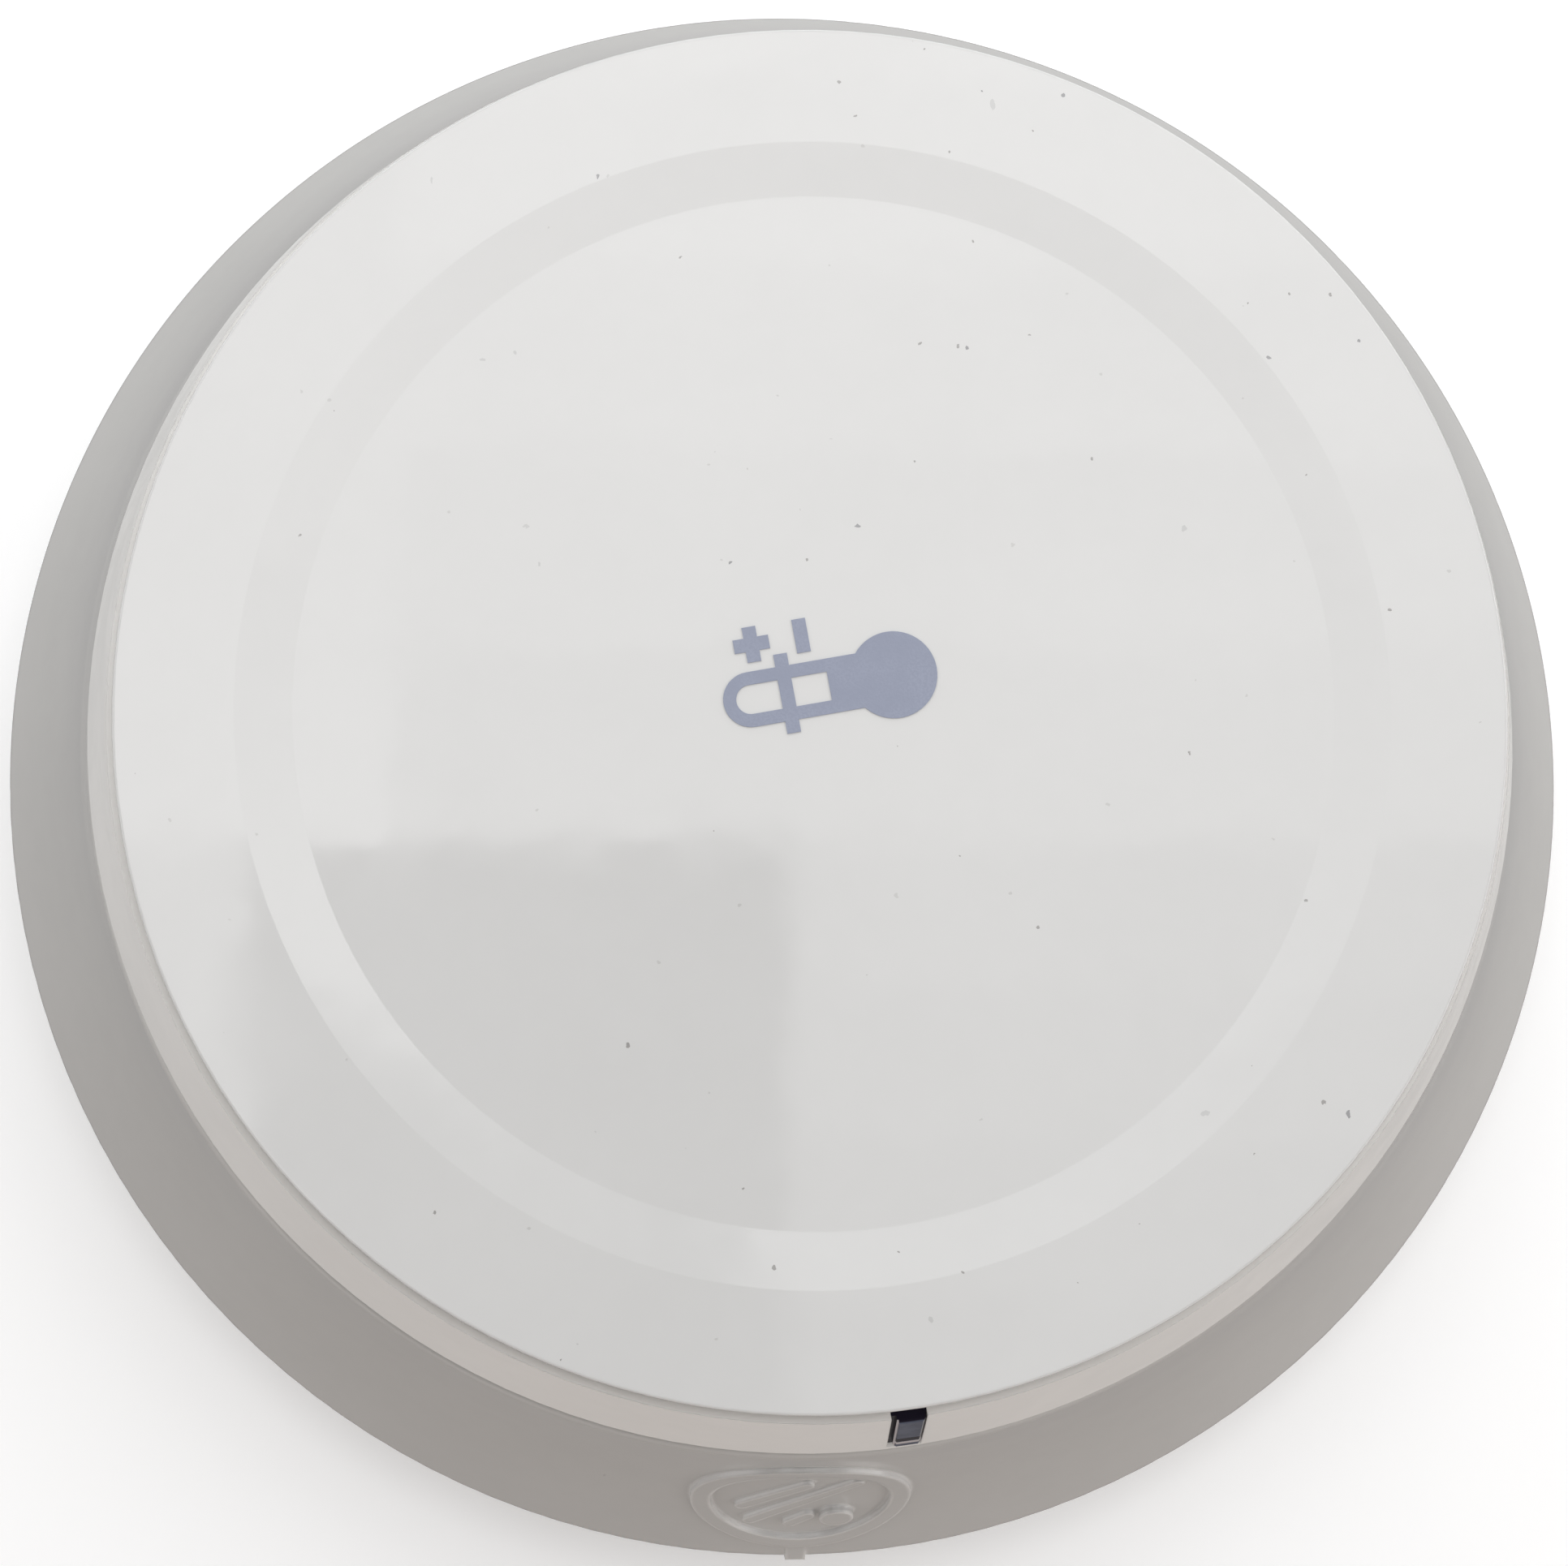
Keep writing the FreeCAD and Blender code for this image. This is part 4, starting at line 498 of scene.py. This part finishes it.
def board():
    """Green solder mask over tracks, with bare tinned pads."""
    finish = Finish("green_board")
    tracks = finish.cells(TRACK_CELL_MM, feature="DISTANCE_TO_EDGE")
    track = finish.ranged(tracks.outputs["Distance"], *TRACK_EDGE, 1.0, 0.0)
    pads = finish.cells(PAD_CELL_MM)
    pad = finish.math("LESS_THAN", pads.outputs["Distance"], PAD_RADIUS)
    mask = finish.mix(track, (0.012, 0.12, 0.045), (0.03, 0.22, 0.08))
    finish.colour(finish.mix(pad, mask, (0.6, 0.6, 0.57)))
    finish.roughness(finish.noise(size_mm=1.0), 0.25, 0.38, spread=NOISE_SPREAD)
    finish.bump(finish.math("MAXIMUM", track, pad), depth_mm=0.03)
    return finish


def battery_wrap():
    finish = Finish("battery_wrap")
    along = finish.stretched((1 / 2.0, 1 / 9.0, 1 / 2.0))
    wrinkle = finish.noise(size_mm=1.0, detail=3.0, vector=along)
    share = finish.ranged(wrinkle, *NOISE_SPREAD)
    finish.colour(finish.mix(share, (0.035, 0.09, 0.22), (0.05, 0.13, 0.29)))
    finish.roughness(wrinkle, 0.2, 0.32, spread=NOISE_SPREAD)
    finish.bump(wrinkle, depth_mm=0.02)
    return finish


def foam():
    finish = Finish("foam_pad")
    pore = finish.ranged(finish.cells(size_mm=0.5).outputs["Distance"], 0.1, 0.5)
    finish.colour(finish.mix(pore, (0.02, 0.02, 0.02), (0.075, 0.075, 0.075)))
    finish.roughness(pore, 0.95, 0.8)
    finish.bump(pore, depth_mm=0.1)
    return finish


def ceramic():
    finish = Finish("piezo_ceramic")
    grain = finish.ranged(finish.cells(size_mm=0.3).outputs["Distance"], 0.0, 0.6)
    finish.colour(finish.mix(grain, (0.62, 0.6, 0.53), (0.76, 0.74, 0.68)))
    finish.roughness(grain, 0.3, 0.5)
    finish.bump(grain, depth_mm=0.004)
    return finish


def sensor_glass():
    finish = Finish("sensor_bead")
    swirl = finish.clouds(size_mm=0.9, detail=3.0)
    finish.colour(finish.mix(swirl, (0.2, 0.07, 0.03), (0.34, 0.15, 0.07)))
    finish.roughness(swirl, 0.08, 0.2)
    finish.set(Coat_Weight=0.6, Coat_Roughness=0.05)
    return finish


def dress(finish, *names):
    for name in names:
        slots = NODES[name].data.materials
        slots.clear()
        slots.append(finish.material)


def dress_nodes():
    dress(white_disc(), "test_disc")
    dress(white_bezel(), "bezel")
    dress(white_housing(), "base_housing")
    dress(inner_white(), "mounting_plate", "back_cover", "inlet_cage")
    dress(print_ink(), "printed_symbol")
    dress(smoked_window(), "indicator_lens")
    dress(clear_plastic(), "light_pipe")
    dress(led(), "status_led")
    dress(black_plastic(), "test_switch_body", "sounder_housing", "sounder_clamp_ring",
          "thermistor_sleeves", "slide_switch_actuator", "power_slider")
    dress(black_plastic("chip_epoxy", roughness=0.55), "microcontroller", "boost_inductor")
    dress(moulded("switch_grey", (0.32, 0.32, 0.33), roughness=0.4), "switch_plunger")
    dress(moulded("capacitor_sleeve", (0.03, 0.035, 0.07), roughness=0.25), "capacitors")
    dress(metal("zinc_steel", (0.6, 0.6, 0.62), roughness=0.3), "housing_screws", "board_screws")
    dress(metal("nickel", (0.68, 0.66, 0.61), roughness=0.25), "battery_tabs", "sounder_contacts",
          "radio_shield", "slide_switch_body")
    dress(metal("brass_sheet", (0.78, 0.57, 0.27), roughness=0.28), "piezo_disc")
    dress(metal("copper_wire", (0.78, 0.42, 0.25), roughness=0.3), "antenna_wire")
    dress(board(), "circuit_board", "radio_board")
    dress(battery_wrap(), "battery_cell")
    dress(foam(), "battery_pad")
    dress(ceramic(), "piezo_ceramic")
    dress(sensor_glass(), "thermistor")


# Return springs
def spring_line(low, high):
    """Angle and height along the wire's middle, with the turns closed at both ends."""
    first = low + SPRING_WIRE_R
    last = high - SPRING_WIRE_R
    closed = SPRING_CLOSED_TURNS * SPRING_CLOSED_PITCH
    rise = (last - first - 2 * closed) / (SPRING_TURNS - 2 * SPRING_CLOSED_TURNS)
    for step in range(int(SPRING_TURNS * SPRING_STEPS) + 1):
        turns = step / SPRING_STEPS
        at_low = min(turns, SPRING_CLOSED_TURNS)
        at_high = max(0.0, turns - (SPRING_TURNS - SPRING_CLOSED_TURNS))
        open_turns = turns - at_low - at_high
        yield turns * math.tau, first + (at_low + at_high) * SPRING_CLOSED_PITCH + open_turns * rise


def make_spring(node, steel):
    low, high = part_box(node)
    middle = (low + high) / 2
    radius = (high.x - low.x) / 2 - SPRING_WIRE_R
    up = Vector((0, 0, 1))
    build = bmesh.new()
    rings = []
    for turn, z in spring_line(low.z, high.z):
        out = Vector((math.cos(turn), math.sin(turn), 0.0))
        at = Vector((middle.x, middle.y, z)) + out * radius
        ring = []
        for side in range(SPRING_SIDES):
            angle = side / SPRING_SIDES * math.tau
            edge = math.cos(angle) * out + math.sin(angle) * up
            ring.append(build.verts.new(at + SPRING_WIRE_R * edge))
        rings.append(ring)
    for ring, after in zip(rings, rings[1:]):
        for i in range(SPRING_SIDES):
            j = (i + 1) % SPRING_SIDES
            build.faces.new((ring[i], ring[j], after[j], after[i]))
    build.faces.new(rings[0][::-1])
    build.faces.new(rings[-1])
    bmesh.ops.recalc_face_normals(build, faces=build.faces)
    mesh = bpy.data.meshes.new(node + "_coil")
    build.to_mesh(mesh)
    build.free()
    mesh.shade_smooth()
    mesh.materials.append(steel.material)
    spring = bpy.data.objects.new(node + "_coil", mesh)
    bpy.context.scene.collection.objects.link(spring)
    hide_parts(node)
    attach(spring, "head")
    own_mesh(spring)


def make_springs():
    steel = metal("spring_wire", (0.58, 0.58, 0.6), roughness=0.22, streak_mm=(0.5, 0.5, 0.1))
    for number in range(1, SPRING_COUNT + 1):
        make_spring("return_spring_%d" % number, steel)


# Floor, light and camera
def make_floor():
    mesh = bpy.data.meshes.new("floor")
    h = FLOOR_HALF
    corners = [(-h, -h, 0), (h, -h, 0), (h, h, 0), (-h, h, 0)]
    mesh.from_pydata(corners, [], [(0, 1, 2, 3)])
    floor = bpy.data.objects.new("floor", mesh)
    floor.location = (0, 0, CAD_LOW.z - FLOOR_DROP)
    bpy.context.scene.collection.objects.link(floor)
    finish = Finish("pale_floor")
    cloud = finish.clouds(size_mm=60.0, detail=3.0)
    finish.colour(finish.mix(cloud, shade(FLOOR_COLOUR, FLOOR_PATCH), FLOOR_COLOUR))
    finish.set(Roughness=0.7, Emission_Color=(*FLOOR_COLOUR, 1.0), Emission_Strength=FLOOR_GLOW)
    mesh.materials.append(finish.material)
    floor.visible_diffuse = False      # the ground's glow lights the alarm from below instead
    floor.visible_glossy = False


def make_softbox(name, place, width, height, strength):
    light = bpy.data.lights.new(name, "AREA")
    light.shape = "RECTANGLE"
    light.size = width
    light.size_y = height
    light.energy = RADIANCE * strength * width * height
    lamp = bpy.data.objects.new(name, light)
    lamp.location = place
    bpy.context.scene.collection.objects.link(lamp)


def make_lights():
    for name, panel in PANELS.items():
        depth = (panel.high - panel.low) / PANEL_STRIPS
        for strip in range(PANEL_STRIPS):
            share = (strip + 0.5) / PANEL_STRIPS
            x = (panel.left + panel.right) / 2
            y = panel.low + share * (panel.high - panel.low)
            width = (panel.right - panel.left) * MM
            strength = panel.at_low + share * (panel.at_high - panel.at_low)
            place = (x * MM, y * MM, PANEL_Z)
            make_softbox("%s_%d" % (name, strip + 1), place, width, depth * MM, strength)


def make_world():
    world = bpy.data.worlds.new("soft_room")
    nodes = Nodes(world)
    direction = nodes.add("ShaderNodeSeparateXYZ")
    nodes.link(nodes.add("ShaderNodeTexCoord").outputs["Generated"], direction.inputs[0])
    right, back, up = direction.outputs
    sides = nodes.math("ADD", nodes.math("MULTIPLY", right, WALL_GLOW_RIGHT),
                       nodes.math("MULTIPLY", back, WALL_GLOW_BACK))
    at_wall = nodes.math("MULTIPLY", nodes.ranged(up, *HORIZON), nodes.ranged(up, *WALL_TOP, 1.0, 0.0))
    wall = nodes.math("MULTIPLY", nodes.math("ADD", sides, WALL_GLOW), at_wall)
    ground = nodes.ranged(up, *HORIZON, GROUND_GLOW, 0.0)
    background = nodes.tree.nodes["Background"]
    tint = nodes.mix(nodes.ranged(back, *WALL_WARM_FADE), WALL_WARM, WHITE)
    nodes.link(tint, background.inputs["Color"])
    nodes.link(nodes.math("ADD", wall, ground), background.inputs["Strength"])
    bpy.context.scene.world = world


def make_camera():
    data = bpy.data.cameras.new("camera")
    data.sensor_fit = "HORIZONTAL"
    data.sensor_width = SENSOR_W
    data.lens = FOCAL_PX / PHOTO_W * SENSOR_W
    data.clip_start, data.clip_end = CAMERA_CLIP
    camera = bpy.data.objects.new("camera", data)
    axis = Vector(CAMERA_TURN)
    turn = Matrix.Rotation(axis.length, 3, axis.normalized())
    flip = Matrix(((1, 0, 0), (0, -1, 0), (0, 0, -1)))
    camera_to_world = (turn @ flip).transposed() @ flip
    camera.rotation_mode = "QUATERNION"
    camera.rotation_quaternion = camera_to_world.to_quaternion()
    camera.location = CAMERA_AT
    bpy.context.scene.collection.objects.link(camera)
    bpy.context.scene.camera = camera


dress_nodes()
make_springs()
make_floor()
make_lights()
make_world()
make_camera()
bpy.context.scene.view_settings.view_transform = "Standard"
